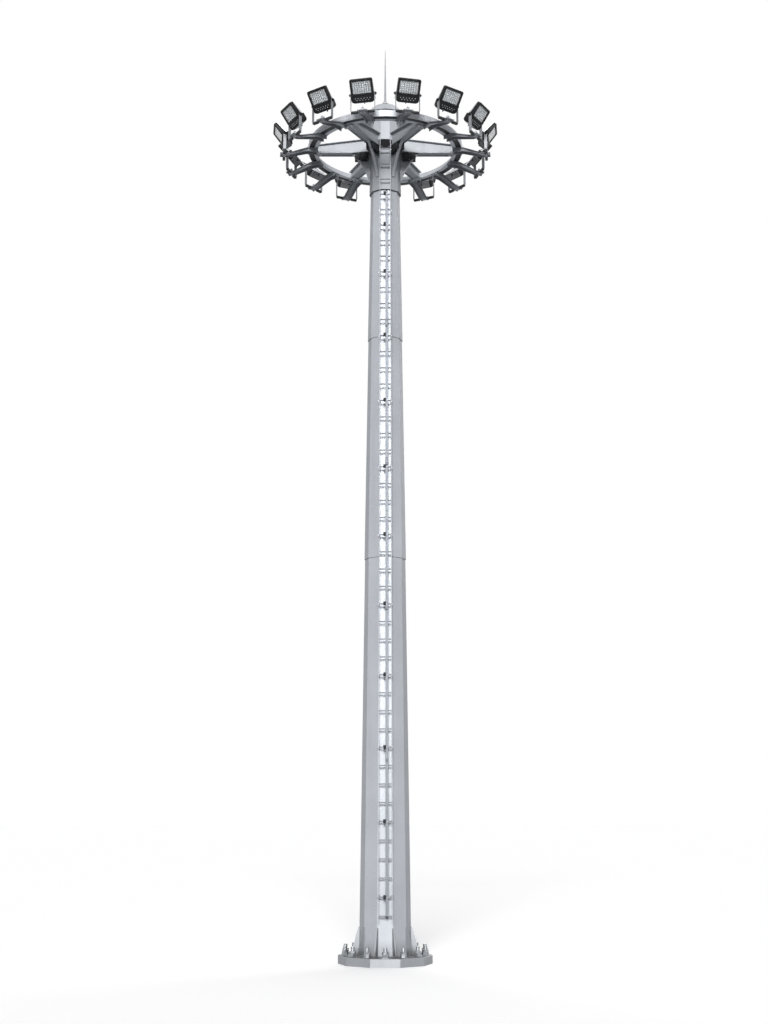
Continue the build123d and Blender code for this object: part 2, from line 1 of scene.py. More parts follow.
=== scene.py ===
"""High mast floodlight tower: finishes, small fittings and studio round the packed frame.

Everything is in metres in the frame of the part: +Z up, the ladder towards -Y, which is
the front. Azimuths are measured from the front, positive towards +X. A fitting is
modelled once, at the front or in its own space, and copied to each place that the
frame's nodes and joints give.
"""
import json
import math
from itertools import pairwise, product

import bpy
from mathutils import Matrix, Vector


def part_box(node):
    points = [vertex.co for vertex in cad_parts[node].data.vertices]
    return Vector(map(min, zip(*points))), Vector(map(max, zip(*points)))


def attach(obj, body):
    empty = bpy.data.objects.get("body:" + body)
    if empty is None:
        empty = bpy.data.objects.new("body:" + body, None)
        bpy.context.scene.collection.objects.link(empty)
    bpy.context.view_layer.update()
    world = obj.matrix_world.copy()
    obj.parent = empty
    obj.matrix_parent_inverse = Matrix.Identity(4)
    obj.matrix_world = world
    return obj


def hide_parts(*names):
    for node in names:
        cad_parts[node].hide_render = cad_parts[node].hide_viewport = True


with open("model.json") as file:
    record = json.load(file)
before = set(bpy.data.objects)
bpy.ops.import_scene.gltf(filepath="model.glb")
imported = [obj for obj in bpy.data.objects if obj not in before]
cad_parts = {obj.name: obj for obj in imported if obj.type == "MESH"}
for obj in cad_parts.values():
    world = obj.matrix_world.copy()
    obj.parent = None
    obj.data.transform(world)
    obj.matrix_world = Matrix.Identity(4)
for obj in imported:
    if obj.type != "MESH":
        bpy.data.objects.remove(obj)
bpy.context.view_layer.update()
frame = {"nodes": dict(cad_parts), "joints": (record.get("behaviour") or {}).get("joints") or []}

bl_info = {
    "name": "High mast floodlight tower",
    "version": (1, 0, 0),
    "blender": (4, 5, 0),
    "location": "View3D > Sidebar > High mast",
    "description": "Finishes, fittings and studio of a high mast floodlight tower",
    "category": "Object",
}

MAST = "mast"
SHAFT_SIDES = 10
ARM_COUNT = 6
FIRST_ARM = math.radians(30)
SIDES = (-1, 1)
RIGHT = Vector((1, 0, 0))
UP = Vector((0, 0, 1))
FRONT = Vector((0, -1, 0))
NEAR = 1e-4      # points closer than this in height or depth are in one row
ALONG = 0.9      # least cosine between a face or an edge and the direction it follows
SEAM_AZIMUTHS = (math.radians(108), math.radians(-108))
APOTHEM = math.cos(math.pi / SHAFT_SIDES)
CORNERS = [math.pi * (2 * side + 1) / SHAFT_SIDES for side in range(SHAFT_SIDES + 1)]


# ---------------------------------------------------------------- places in the frame
def turned(azimuth):
    """Matrix that carries something modelled at the front round to an azimuth."""
    return Matrix.Rotation(azimuth, 4, "Z")


def at(x=0.0, y=0.0, z=0.0):
    """Matrix that moves something without turning it."""
    return Matrix.Translation((x, y, z))


def facing(foot, direction, upward=UP):
    """Matrix that stands a fitting on a point with its own +Z along a direction."""
    z_axis = direction.normalized()
    if abs(z_axis.dot(upward)) > 0.99:
        upward = FRONT
    x_axis = upward.cross(z_axis).normalized()
    y_axis = z_axis.cross(x_axis)
    return Matrix.Translation(foot) @ Matrix((x_axis, y_axis, z_axis)).transposed().to_4x4()


def outward(azimuth):
    """Level unit vector away from the axis at an azimuth."""
    return Vector((math.sin(azimuth), -math.cos(azimuth), 0))


def spot(azimuth, radius, level):
    """The point at an azimuth, a distance from the axis and a height."""
    return outward(azimuth) * radius + UP * level


def shaft_ring(radius, level, trim=0.0):
    """Runs along the shaft's sides at a height, each cut back at its ends by an angle."""
    return [(spot(first + trim, radius, level), spot(last - trim, radius, level))
            for first, last in pairwise(CORNERS)]


def points_of(node):
    """A node's points in the frame."""
    return [vertex.co for vertex in frame["nodes"][node].data.vertices]


def seen_from(node, space):
    """A node's points in a space given by its matrix."""
    inverse = space.inverted()
    return [inverse @ point for point in points_of(node)]


def box_of(points):
    """Lowest and highest corner of some points."""
    low = Vector(min(p[axis] for p in points) for axis in range(3))
    high = Vector(max(p[axis] for p in points) for axis in range(3))
    return low, high


def solids(node, space=Matrix.Identity(4)):
    """The box of each separate solid of a node, in a space, from the lowest up."""
    places = seen_from(node, space)
    keys = [tuple(round(value, 4) for value in place) for place in places]
    leader = {key: key for key in keys}

    def find(key):
        while leader[key] != key:
            leader[key] = leader[leader[key]]
            key = leader[key]
        return key

    for edge in frame["nodes"][node].data.edges:
        first, last = (find(keys[index]) for index in edge.vertices)
        leader[first] = last
    groups = {}
    for key, place in zip(keys, places):
        groups.setdefault(find(key), []).append(place)
    return sorted((box_of(group) for group in groups.values()), key=lambda box: box[0].z)


def corner_radius(node, height):
    """Outside radius of a tapered polygonal node over its corners at a height."""
    low, high = (corner.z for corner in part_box(node))
    points = points_of(node)
    foot, top = (
        max(point.xy.length for point in points if abs(point.z - level) < NEAR)
        for level in (low, high))
    return foot + (height - low) / (high - low) * (top - foot)


def lamp_space(number):
    """Matrix from a lamp's own space to the frame: pivot at the origin, -Y the aim, +Z up the face."""
    pivot = Vector(frame["joints"][number - 1]["pos_m"])
    faces = frame["nodes"][f"lens_{number:02d}"].data.polygons
    outer = [face for face in faces if face.normal.dot(Vector((pivot.x, pivot.y, 0))) > 0]
    aim = max(outer, key=lambda face: face.area).normal
    azimuth = math.atan2(aim.x, -aim.y)
    return at(*pivot) @ turned(azimuth) @ Matrix.Rotation(math.asin(-aim.z), 4, "X")


LAMPS = range(1, len(frame["joints"]) + 1)
HEADS = {number: frame["joints"][number - 1]["child"] for number in LAMPS}
SPACES = {number: lamp_space(number) for number in LAMPS}
LAMP_PLACES = [turned(math.atan2(joint["pos_m"][0], -joint["pos_m"][1])) for joint in frame["joints"]]
ARM_PLACES = [turned(FIRST_ARM + arm * math.tau / ARM_COUNT) for arm in range(ARM_COUNT)]
PIVOT_RADIUS = Vector(frame["joints"][0]["pos_m"]).xy.length
RING_FOOT, RING_TOP = (corner.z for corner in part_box("ring_segment_3"))
RING_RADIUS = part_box("ring_segment_3")[1].y
GLASS = box_of(seen_from("lens_01", SPACES[1]))
HOUSING = box_of(seen_from("floodlight_01", SPACES[1]))
LAMP_HALF = max(p.x for p in seen_from("floodlight_01", SPACES[1]) if p.z > HOUSING[1].z - NEAR)
LAMP_FACE = HOUSING[0].y
HEAD_BACK = LAMP_FACE + 0.094      # back of the lamp's head at its foot
HEAD_CROWN = LAMP_FACE + 0.062     # back of the lamp's head at its top
DRIVER_SEAM = 0.006                # height over the pivot where the driver box ends
POCKET_DEPTH = 0.0235              # depth of the pocket that the diode panel lies in


# ---------------------------------------------------------------- modelling helpers
def only(piece):
    """Selects one piece alone and makes it active."""
    bpy.ops.object.select_all(action="DESELECT")
    piece.select_set(True)
    bpy.context.view_layer.objects.active = piece


def set_in_place():
    """Puts the active piece's place, turn and scale into its mesh."""
    bpy.ops.object.transform_apply(location=True, rotation=True, scale=True)
    return bpy.context.active_object


def block(low, high):
    """A cube stretched between two corners, as a start."""
    bpy.ops.object.select_all(action="DESELECT")
    low, high = Vector(low), Vector(high)
    bpy.ops.mesh.primitive_cube_add(size=1, location=(low + high) / 2, scale=high - low)
    return set_in_place()


def round_bar(radius, height, sides):
    """A cylinder that stands on the origin, as a start."""
    bpy.ops.object.select_all(action="DESELECT")
    bpy.ops.mesh.primitive_cylinder_add(
        vertices=sides, radius=radius, depth=height, location=(0, 0, height / 2))
    return set_in_place()


def looking(direction):
    """A test for the faces that look along a direction."""
    return lambda middle, normal: normal.dot(direction) > ALONG


def lying(direction):
    """A test for the faces or edges that follow a direction, either way."""
    return lambda middle, way: abs(way.dot(direction)) > ALONG


def pick(piece, test, kind="FACE"):
    """Enters edit mode with only those faces or edges selected whose middle and direction pass a test."""
    only(piece)
    bpy.ops.object.mode_set(mode="EDIT")
    bpy.ops.mesh.select_mode(type=kind)
    bpy.ops.mesh.select_all(action="DESELECT")
    bpy.ops.object.mode_set(mode="OBJECT")
    if kind == "FACE":
        for face in piece.data.polygons:
            face.select = test(face.center, face.normal)
    else:
        for edge in piece.data.edges:
            first, last = (piece.data.vertices[index].co for index in edge.vertices)
            edge.select = test((first + last) / 2, (last - first).normalized())
    bpy.ops.object.mode_set(mode="EDIT")


def done(piece):
    """Leaves edit mode."""
    bpy.ops.object.mode_set(mode="OBJECT")
    return piece


def panelled(piece, test, *steps):
    """Insets the faces that pass a test, step by step, each step a width and a rise."""
    pick(piece, test)
    for width, rise in steps:
        bpy.ops.mesh.inset(thickness=width, depth=rise)
    return done(piece)


def opened(piece, test, rim):
    """Cuts a way through between the two faces that pass a test and leaves a rim of a width."""
    pick(piece, test)
    bpy.ops.mesh.inset(thickness=rim)
    bpy.ops.mesh.bridge_edge_loops()
    return done(piece)


def bevelled(piece, test, width, segments, kind="EDGE"):
    """Bevels the edges, or the edges of the faces, that pass a test."""
    pick(piece, test, kind)
    bpy.ops.mesh.bevel(offset=width, segments=segments, affect="EDGES")
    return done(piece)


def shifted(piece, test, shift, kind="EDGE"):
    """Moves the edges or faces of a piece that pass a test along its depth."""
    pick(piece, test, kind)
    bpy.ops.transform.translate(value=(0, shift, 0))
    return done(piece)


def modified(piece, kind, **settings):
    """Adds a modifier, sets it and applies it."""
    only(piece)
    bpy.ops.object.modifier_add(type=kind)
    modifier = piece.modifiers[-1]
    for name, value in settings.items():
        setattr(modifier, name, value)
    bpy.ops.object.modifier_apply(modifier=modifier.name)
    return piece


def softened(piece, width, segments=2):
    """Rounds a piece's sharp edges."""
    return modified(piece, "BEVEL", width=width, segments=segments, limit_method="ANGLE")


def pocketed(piece, low, high):
    """Cuts a square pocket into a piece."""
    cutter = block(low, high)
    modified(piece, "BOOLEAN", operation="DIFFERENCE", solver="EXACT", object=cutter)
    bpy.data.objects.remove(cutter)
    return piece


def placed(piece, matrix):
    """Moves a piece's mesh by a matrix."""
    piece.data.transform(matrix)
    piece.data.update()
    return piece


def copy_of(piece, matrix):
    """A copy of a piece with its own mesh, moved by a matrix."""
    twin = piece.copy()
    twin.data = piece.data.copy()
    bpy.context.scene.collection.objects.link(twin)
    return placed(twin, matrix)


def joined(pieces):
    """Joins several pieces into the first."""
    bpy.ops.object.select_all(action="DESELECT")
    for piece in pieces:
        piece.select_set(True)
    bpy.context.view_layer.objects.active = pieces[0]
    if len(pieces) > 1:
        bpy.ops.object.join()
    return bpy.context.active_object


def scattered(piece, matrices):
    """Copies a piece to each place, joins the copies and removes the first one."""
    twins = [copy_of(piece, matrix) for matrix in matrices]
    bpy.data.objects.remove(piece)
    return joined(twins)


def faces_out(piece):
    """Merges doubles and turns every face outwards."""
    only(piece)
    bpy.ops.object.mode_set(mode="EDIT")
    bpy.ops.mesh.select_all(action="SELECT")
    bpy.ops.mesh.remove_doubles(threshold=1e-5)
    bpy.ops.mesh.normals_make_consistent(inside=False)
    return done(piece)


def painted(piece, finish):
    """Gives a piece one material."""
    piece.data.materials.clear()
    piece.data.materials.append(bpy.data.materials[finish])
    return piece


def settled(piece, name, body):
    """Names a finished piece, smooths its curved faces and lets it ride on a body."""
    only(piece)
    bpy.ops.object.shade_smooth_by_angle(angle=math.radians(35))
    piece.name = piece.data.name = name
    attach(piece, body)
    return piece


# ---------------------------------------------------------------- small parts
def panel(low, high, test, steps, edge):
    """A block between two corners with the faces that pass a test panelled and its edges soft."""
    return softened(panelled(block(low, high), test, *steps), edge)


def dome_screw(radius, height, sides=8):
    """A low screw head: a round bar whose top is drawn in and raised."""
    return panelled(round_bar(radius, height / 2, sides), looking(UP), (radius * 0.35, height / 2))


def hex_bolt(across, washer=True):
    """A hexagon head with a chamfered top, on a round washer."""
    head = panelled(
        round_bar(across / math.sqrt(3), across * 0.62, 6), looking(UP),
        (across * 0.08, across * 0.06), (across * 0.14, -across * 0.02))
    if not washer:
        return head
    plate = panelled(
        round_bar(across * 0.95, across * 0.14, 12), looking(UP), (across * 0.08, across * 0.03))
    return joined([placed(head, at(z=across * 0.15)), plate])


def cable_gland(across, radius, height, seat):
    """A hexagon nut with a round cap that a cable passes through."""
    return joined([hex_bolt(across), placed(dome_screw(radius, height, 12), at(z=seat))])


def beads(runs, size):
    """Weld beads of a radius along runs between two points."""
    bead = panelled(round_bar(1, 1, 6), lying(UP), (0.45, 0.0))
    places = []
    for start, end in runs:
        span = end - start
        places.append(facing(start, span) @ Matrix.Diagonal((size, size, span.length, 1)))
    return scattered(bead, places)


# ---------------------------------------------------------------- sizes and colours
class MastColours(bpy.types.PropertyGroup):
    """Colours of the finishes."""

    plate: bpy.props.FloatVectorProperty(
        name="Shaft zinc", description="Galvanised plate of the shaft and cap",
        default=(0.43, 0.45, 0.48), subtype="COLOR", min=0, max=1)
    heavy: bpy.props.FloatVectorProperty(
        name="Base zinc", description="Galvanised thick plate of the flange and gussets",
        default=(0.315, 0.328, 0.345), subtype="COLOR", min=0, max=1)
    section: bpy.props.FloatVectorProperty(
        name="Frame zinc", description="Galvanised rolled sections of the ring and arms",
        default=(0.345, 0.36, 0.38), subtype="COLOR", min=0, max=1)
    collar: bpy.props.FloatVectorProperty(
        name="Collar zinc", description="Dull zinc of the collar; the drum's is a little lighter",
        default=(0.35, 0.3625, 0.383), subtype="COLOR", min=0, max=1)
    ring: bpy.props.FloatVectorProperty(
        name="Ring zinc", description="Brighter zinc of the rolled ring",
        default=(0.52, 0.54, 0.57), subtype="COLOR", min=0, max=1)
    bracket: bpy.props.FloatVectorProperty(
        name="Bracket zinc", description="Dull zinc of the outriggers under the ring",
        default=(0.25, 0.26, 0.275), subtype="COLOR", min=0, max=1)
    ladder: bpy.props.FloatVectorProperty(
        name="Ladder zinc", description="Bright bars of the ladder",
        default=(0.42, 0.44, 0.465), subtype="COLOR", min=0, max=1)
    rung: bpy.props.FloatVectorProperty(
        name="Rung zinc", description="Duller zinc of the ladder's rungs and stand-offs",
        default=(0.24, 0.25, 0.27), subtype="COLOR", min=0, max=1)
    rail: bpy.props.FloatVectorProperty(
        name="Safety rail", description="Darker steel of the fall-arrest rail",
        default=(0.23, 0.245, 0.27), subtype="COLOR", min=0, max=1)
    yoke: bpy.props.FloatVectorProperty(
        name="Yokes", description="Satin steel of the lamp yokes",
        default=(0.25, 0.26, 0.275), subtype="COLOR", min=0, max=1)
    coat: bpy.props.FloatVectorProperty(
        name="Powder coat", description="Charcoal coat of the lamp housings",
        default=(0.011, 0.0115, 0.0125), subtype="COLOR", min=0, max=1)
    # real dark paint of boxes, clamps, stops and glands; also used as painted shade on the ring channel
    # sheet, the collar seals and the cap's rolled edge
    dark_paint_and_shade: bpy.props.FloatVectorProperty(
        name="Dark paint", description="Paint of the junction boxes, rail clamps and seals",
        default=(0.022, 0.024, 0.026), subtype="COLOR", min=0, max=1)


class LampSizes(bpy.types.PropertyGroup):
    """Sizes of what a floodlight carries."""

    housing_corner: bpy.props.FloatProperty(
        name="Head corner", description="Radius of the housing's upper corners",
        default=0.034, min=0.002, unit="LENGTH")
    driver_corner: bpy.props.FloatProperty(
        name="Driver box corner", description="Radius of the housing's lower corners",
        default=0.050, min=0.002, unit="LENGTH")
    bezel_margin: bpy.props.FloatProperty(
        name="Bezel width", description="Width of the frame round the glass",
        default=0.033, min=0.005, unit="LENGTH")
    bezel_rise: bpy.props.FloatProperty(
        name="Bezel rise", description="Height of the frame over the face",
        default=0.005, min=0.001, unit="LENGTH")
    bezel_corner: bpy.props.FloatProperty(
        name="Bezel corner", description="Corner radius of the frame",
        default=0.027, min=0.001, unit="LENGTH")
    diode_columns: bpy.props.IntProperty(
        name="Diode columns", description="Diode lenses across the panel", default=8, min=1)
    diode_rows: bpy.props.IntProperty(
        name="Diode rows", description="Diode lenses up the panel", default=6, min=1)
    fin_count: bpy.props.IntProperty(
        name="Cooling fins", description="Thin fins on the back of the head", default=36, min=2)
    fin_depth: bpy.props.FloatProperty(
        name="Fin depth", description="Depth of the thin fins at the foot of the head",
        default=0.036, min=0.002, unit="LENGTH")


class FixingSizes(bpy.types.PropertyGroup):
    """Sizes of bolts, beads and threads on the structure."""

    frame_bolt: bpy.props.FloatProperty(
        name="Frame bolt", description="Across the flats of the ring and arm bolts",
        default=0.030, min=0.004, unit="LENGTH")
    small_bolt: bpy.props.FloatProperty(
        name="Small bolt", description="Across the flats of the ladder, rail and cap bolts",
        default=0.019, min=0.003, unit="LENGTH")
    heavy_bead: bpy.props.FloatProperty(
        name="Base bead", description="Radius of the weld beads at the base",
        default=0.011, min=0.001, unit="LENGTH")
    light_bead: bpy.props.FloatProperty(
        name="Frame bead", description="Radius of the weld beads on the head and ladder",
        default=0.005, min=0.001, unit="LENGTH")
    thread_pitch: bpy.props.FloatProperty(
        name="Thread pitch", description="Pitch of the anchor studs' threads",
        default=0.006, min=0.001, unit="LENGTH")


class StageSettings(bpy.types.PropertyGroup):
    """The studio and the camera."""

    camera_distance: bpy.props.FloatProperty(
        name="Camera distance", description="Level distance from the mast's axis",
        default=27.31, min=1, unit="LENGTH")
    camera_height: bpy.props.FloatProperty(
        name="Camera height", description="Height over the floor", default=2.51, unit="LENGTH")
    camera_azimuth: bpy.props.FloatProperty(
        name="Camera azimuth", description="Place of the camera round the mast",
        default=0.0, subtype="ANGLE")
    camera_pitch: bpy.props.FloatProperty(
        name="Camera pitch", description="Aim of the camera over the horizon",
        default=math.radians(12.23), subtype="ANGLE")
    focal_length: bpy.props.FloatProperty(
        name="Focal length", description="Focal length on a sensor 36 mm high",
        default=50.4, min=1, subtype="DISTANCE_CAMERA")
    ambient: bpy.props.FloatProperty(
        name="Ambient light", description="Strength of the even light from all round",
        default=0.07, min=0)
    key: bpy.props.FloatProperty(
        name="Key light", description="Strength of the soft light from the front",
        default=3.6, min=0)
    back: bpy.props.FloatProperty(
        name="Back light", description="Strength of the soft light from behind",
        default=1.6, min=0)


# ---------------------------------------------------------------- finishes
class Finish:
    """A node material on Object coordinates, built from its principled shader backwards."""

    def __init__(self, name, colour, roughness, metallic=0.0):
        self.material = bpy.data.materials.new(name)
        self.material.use_nodes = True
        self.tree = self.material.node_tree
        self.shader = self.tree.nodes["Principled BSDF"]
        self.valued(Base_Color=(*colour, 1), Roughness=roughness, Metallic=metallic)
        self.place = self.tree.nodes.new("ShaderNodeTexCoord").outputs["Object"]

    def node(self, kind, inputs=None, **settings):
        """Adds a node, with values or sockets for its inputs."""
        node = self.tree.nodes.new(kind)
        for name, value in settings.items():
            setattr(node, name, value)
        for name, value in (inputs or {}).items():
            if isinstance(value, bpy.types.NodeSocket):
                self.tree.links.new(value, node.inputs[name])
            else:
                node.inputs[name].default_value = value
        return node

    def noise(self, scale, detail=3.0, stretch=None):
        """Cloudy noise, drawn out along the axes whose stretch is small."""
        vector = self.place
        if stretch:
            mapping = self.node("ShaderNodeMapping", {"Vector": vector, "Scale": stretch})
            vector = mapping.outputs["Vector"]
        inputs = {"Vector": vector, "Scale": scale, "Detail": detail}
        return self.node("ShaderNodeTexNoise", inputs).outputs["Fac"]

    def cells(self, size):
        """A random value for each crystal of a given size, and the distance to its seed."""
        node = self.node("ShaderNodeTexVoronoi", {"Vector": self.place, "Scale": 1 / size})
        value = self.node("ShaderNodeSeparateColor", {"Color": node.outputs["Color"]})
        return value.outputs["Red"], node.outputs["Distance"]

    def spread(self, value, low, high, start=0.3, end=0.7):
        """Maps a value from start..end onto low..high."""
        inputs = {"Value": value, "From Min": start, "From Max": end, "To Min": low, "To Max": high}
        return self.node("ShaderNodeMapRange", inputs).outputs["Result"]

    def mixed(self, share, first, second):
        """Mixes a socket or colour with a colour by a share."""
        node = self.node("ShaderNodeMix", {"Factor": share}, data_type="RGBA")
        before, after = (socket for socket in node.inputs if socket.type == "RGBA")
        if isinstance(first, bpy.types.NodeSocket):
            self.tree.links.new(first, before)
        else:
            before.default_value = (*first, 1)
        after.default_value = (*second, 1)
        return next(socket for socket in node.outputs if socket.type == "RGBA")

    def coloured(self, socket):
        """Links the base colour."""
        self.tree.links.new(socket, self.shader.inputs["Base Color"])

    def roughened(self, socket):
        """Links the roughness."""
        self.tree.links.new(socket, self.shader.inputs["Roughness"])

    def valued(self, **values):
        """Sets the shader's own sockets; an underscore in a name stands for a space."""
        for name, value in values.items():
            self.shader.inputs[name.replace("_", " ")].default_value = value

    def bumped(self, height, depth, strength=1.0):
        """Adds a bump of a real depth, over any bump that is already there."""
        inputs = {"Height": height, "Distance": depth, "Strength": strength}
        bump = self.node("ShaderNodeBump", inputs)
        before = self.shader.inputs["Normal"].links
        if before:
            self.tree.links.new(before[0].from_socket, bump.inputs["Normal"])
        self.tree.links.new(bump.outputs["Normal"], self.shader.inputs["Normal"])


# colour of the painted shade laid just over the flange's top
SHADE_COLOUR = (0.085, 0.083, 0.08)
GLASS_CLEAR, GLASS_DUSTY = (0.93, 0.95, 0.96), (0.84, 0.86, 0.88)
BOARD_DARK, BOARD_LIGHT = (0.36, 0.375, 0.39), (0.50, 0.515, 0.53)
LENS_BODY, LENS_MILKY = (0.80, 0.81, 0.81), (0.95, 0.95, 0.93)


def shade(colour, factor):
    """A colour made lighter or darker."""
    return tuple(min(1.0, value * factor) for value in colour)


def galvanised(name, colour, roughness, metallic, crystal, foot_shade):
    """Hot-dip zinc with crystals of a size, cloudy patches, run-off streaks and, where a level,
    a reach and a strength are given, painted shade just over that level, mottled and fading upwards."""
    finish = Finish(name, colour, roughness, metallic)
    tone, distance = finish.cells(crystal)
    patches = finish.noise(1.1, 5.0)
    streaks = finish.noise(7.0, 4.0, stretch=(1.0, 1.0, 0.05))
    surface = finish.mixed(finish.spread(patches, 0, 1), shade(colour, 0.90), shade(colour, 1.06))
    surface = finish.mixed(finish.spread(streaks, 0, 0.5, 0.52, 0.75), surface, shade(colour, 0.80))
    surface = finish.mixed(finish.spread(tone, 0, 0.28, 0, 1), surface, shade(colour, 1.25))
    # painted shade: darker just over a level, fading upwards over a reach and mottled by noise
    if foot_shade:
        level, reach, strength = foot_shade
        height = finish.node("ShaderNodeSeparateXYZ", {"Vector": finish.place}).outputs["Z"]
        share = finish.spread(height, 0, strength, level - 0.008, level - 0.001)
        for fade in (finish.spread(height, 1, 0, level, level + reach),
                     finish.spread(finish.noise(26.0, 6.0), 0.55, 1, 0.35, 0.6)):
            share = finish.node("ShaderNodeMath", {0: share, 1: fade}, operation="MULTIPLY").outputs[0]
        surface = finish.mixed(share, surface, SHADE_COLOUR)
    finish.coloured(surface)
    finish.valued(Specular_IOR_Level=0.05)
    finish.roughened(finish.spread(tone, roughness - 0.07, roughness + 0.09, 0, 1))
    finish.bumped(distance, crystal * 0.02, 0.5)
    finish.bumped(finish.noise(60.0, 3.0), 0.0012, 0.4)


def weld_zinc(colour):
    """Zinc over a rippled weld bead."""
    finish = Finish("weld_zinc", colour, 0.55, 0.5)
    ripple = finish.node("ShaderNodeTexWave", {
        "Vector": finish.place, "Scale": 42.0, "Distortion": 6.0, "Detail": 2.0})
    finish.coloured(finish.mixed(finish.noise(30.0), shade(colour, 0.75), shade(colour, 1.1)))
    finish.bumped(ripple.outputs["Fac"], 0.002, 0.6)


def powder_coat(name, colour, roughness):
    """Die-cast metal under a textured powder coat, with a little dust."""
    finish = Finish(name, colour, roughness)
    dust = finish.noise(5.0, 6.0)
    grain = finish.noise(420.0, 2.0)
    finish.coloured(finish.mixed(finish.spread(dust, 0, 0.2, 0.5, 0.8), colour, shade(colour, 2.5)))
    finish.valued(Specular_IOR_Level=0.18)
    finish.roughened(finish.spread(grain, roughness - 0.06, roughness + 0.12))
    finish.bumped(grain, 0.0006, 0.5)


def brushed(name, colour, roughness, metallic, grain=(1.0, 1.0, 1.0)):
    """Drawn or cast bright metal with a fine grain and handling marks."""
    finish = Finish(name, colour, roughness, metallic)
    lines = finish.noise(180.0, 3.0, stretch=grain)
    marks = finish.noise(9.0, 5.0)
    finish.coloured(finish.mixed(finish.spread(marks, 0, 1), shade(colour, 0.86), shade(colour, 1.08)))
    finish.roughened(finish.spread(lines, roughness - 0.08, roughness + 0.12))
    finish.bumped(lines, 0.0004, 0.4)


def lamp_glass():
    """Clear tempered glass with a faint film of dust."""
    finish = Finish("lamp_glass", GLASS_CLEAR, 0.04)
    finish.valued(Transmission_Weight=1.0, IOR=1.45)
    film = finish.noise(6.0, 6.0)
    finish.coloured(finish.mixed(finish.spread(film, 0, 1), GLASS_CLEAR, GLASS_DUSTY))
    finish.roughened(finish.spread(film, 0.03, 0.14))


def diode_board():
    """Satin reflector sheet behind the diodes."""
    finish = Finish("diode_board", BOARD_DARK, 0.4, 0.2)
    mottle = finish.noise(70.0, 3.0)
    finish.coloured(finish.mixed(finish.spread(mottle, 0, 1), BOARD_DARK, BOARD_LIGHT))
    finish.bumped(mottle, 0.0006, 0.5)


def diode_lens():
    """Moulded lens over each diode, milky at its middle."""
    finish = Finish("diode_lens", LENS_BODY, 0.16)
    cloud = finish.noise(220.0, 2.0)
    finish.coloured(finish.mixed(finish.spread(cloud, 0, 1), LENS_BODY, LENS_MILKY))
    finish.bumped(cloud, 0.0004, 0.4)


NODE_FINISHES = {
    "shaft_zinc": ["shaft_lower", "shaft_middle", "shaft_upper", "cap_dome"],
    "base_zinc": ["base_flange", "base_gussets"],
    "ring_zinc": [f"ring_segment_{n}" for n in range(1, ARM_COUNT + 1)],
    "bracket_zinc": ["outriggers"],
    "frame_zinc": ["head_arms", "arm_knees"],
    "collar_zinc": ["head_collar"],
    "drum_zinc": ["head_drum"],
    "anchor_zinc": ["anchor_studs", "anchor_nuts"],
    "ladder_zinc": ["ladder_rails"],
    "rung_zinc": ["ladder_rungs", "ladder_standoffs"],
    "rail_steel": ["safety_rail"],
    "dark_paint_and_shade": ["safety_clamps", "junction_boxes"],
    "yoke_satin": ["yokes"],
    "rod_satin": ["lightning_rod"],
    "powder_coat": [f"floodlight_{n:02d}" for n in LAMPS],
    "lamp_glass": [f"lens_{n:02d}" for n in LAMPS],
}


class MAST_OT_finishes(bpy.types.Operator):
    """Make every finish and give the frame's own nodes theirs"""

    bl_idname = "mast.finishes"
    bl_label = "Finishes"

    def execute(self, context):
        colours = context.scene.mast_colours
        flange_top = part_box("base_flange")[1].z
        # painted shade where the shaft and the gussets stand on the flange's top: level, reach and
        # strength of the darkening
        light_foot_shade, heavy_foot_shade = (flange_top, 0.30, 0.55), (flange_top, 0.16, 0.9)
        for name, colour, roughness, metallic, crystal, foot_shade in (
                ("shaft_zinc", colours.plate, 0.46, 0.25, 0.016, light_foot_shade),
                ("base_zinc", colours.heavy, 0.46, 0.5, 0.012, heavy_foot_shade),
                ("collar_zinc", colours.collar, 0.58, 0.15, 0.012, None),
                ("drum_zinc", shade(colours.collar, 1.26), 0.60, 0.15, 0.012, None),
                ("frame_zinc", colours.section, 0.52, 0.2, 0.010, None),
                ("ring_zinc", colours.ring, 0.50, 0.2, 0.010, None),
                ("bracket_zinc", colours.bracket, 0.55, 0.2, 0.008, None),
                ("anchor_zinc", shade(colours.heavy, 0.95), 0.30, 0.7, 0.005, None),
                ("ladder_zinc", colours.ladder, 0.55, 0.1, 0.007, None),
                ("rung_zinc", colours.rung, 0.6, 0.1, 0.006, None),
                ("rail_steel", colours.rail, 0.50, 0.25, 0.008, None)):
            galvanised(name, colour, roughness, metallic, crystal, foot_shade)
        weld_zinc(shade(colours.heavy, 1.05))
        powder_coat("powder_coat", colours.coat, roughness=0.5)
        powder_coat("dark_paint_and_shade", colours.dark_paint_and_shade, roughness=0.5)
        # rough dark coat of the band under the drum, which stands for the shade there (painted shade)
        powder_coat("drum_shade_band_rubber", colours.coat, roughness=0.85)
        powder_coat("pan_grey", (0.20, 0.205, 0.21), roughness=0.45)
        upright, long_upright, across = (1.0, 1.0, 0.1), (1.0, 1.0, 0.05), (0.2, 1.0, 1.0)
        brushed("yoke_satin", colours.yoke, 0.45, 0.2, grain=upright)
        brushed("rod_satin", (0.30, 0.315, 0.335), 0.40, 0.4, grain=long_upright)
        brushed("fin_aluminium", (0.56, 0.58, 0.60), 0.40, 0.5, grain=across)
        brushed("bolt_steel", (0.40, 0.415, 0.435), 0.40, 0.5)
        brushed("screw_steel", (0.78, 0.79, 0.80), 0.35, 0.3)
        lamp_glass()
        diode_board()
        diode_lens()
        for finish, nodes in NODE_FINISHES.items():
            for node in nodes:
                painted(frame["nodes"][node], finish)
        return {"FINISHED"}


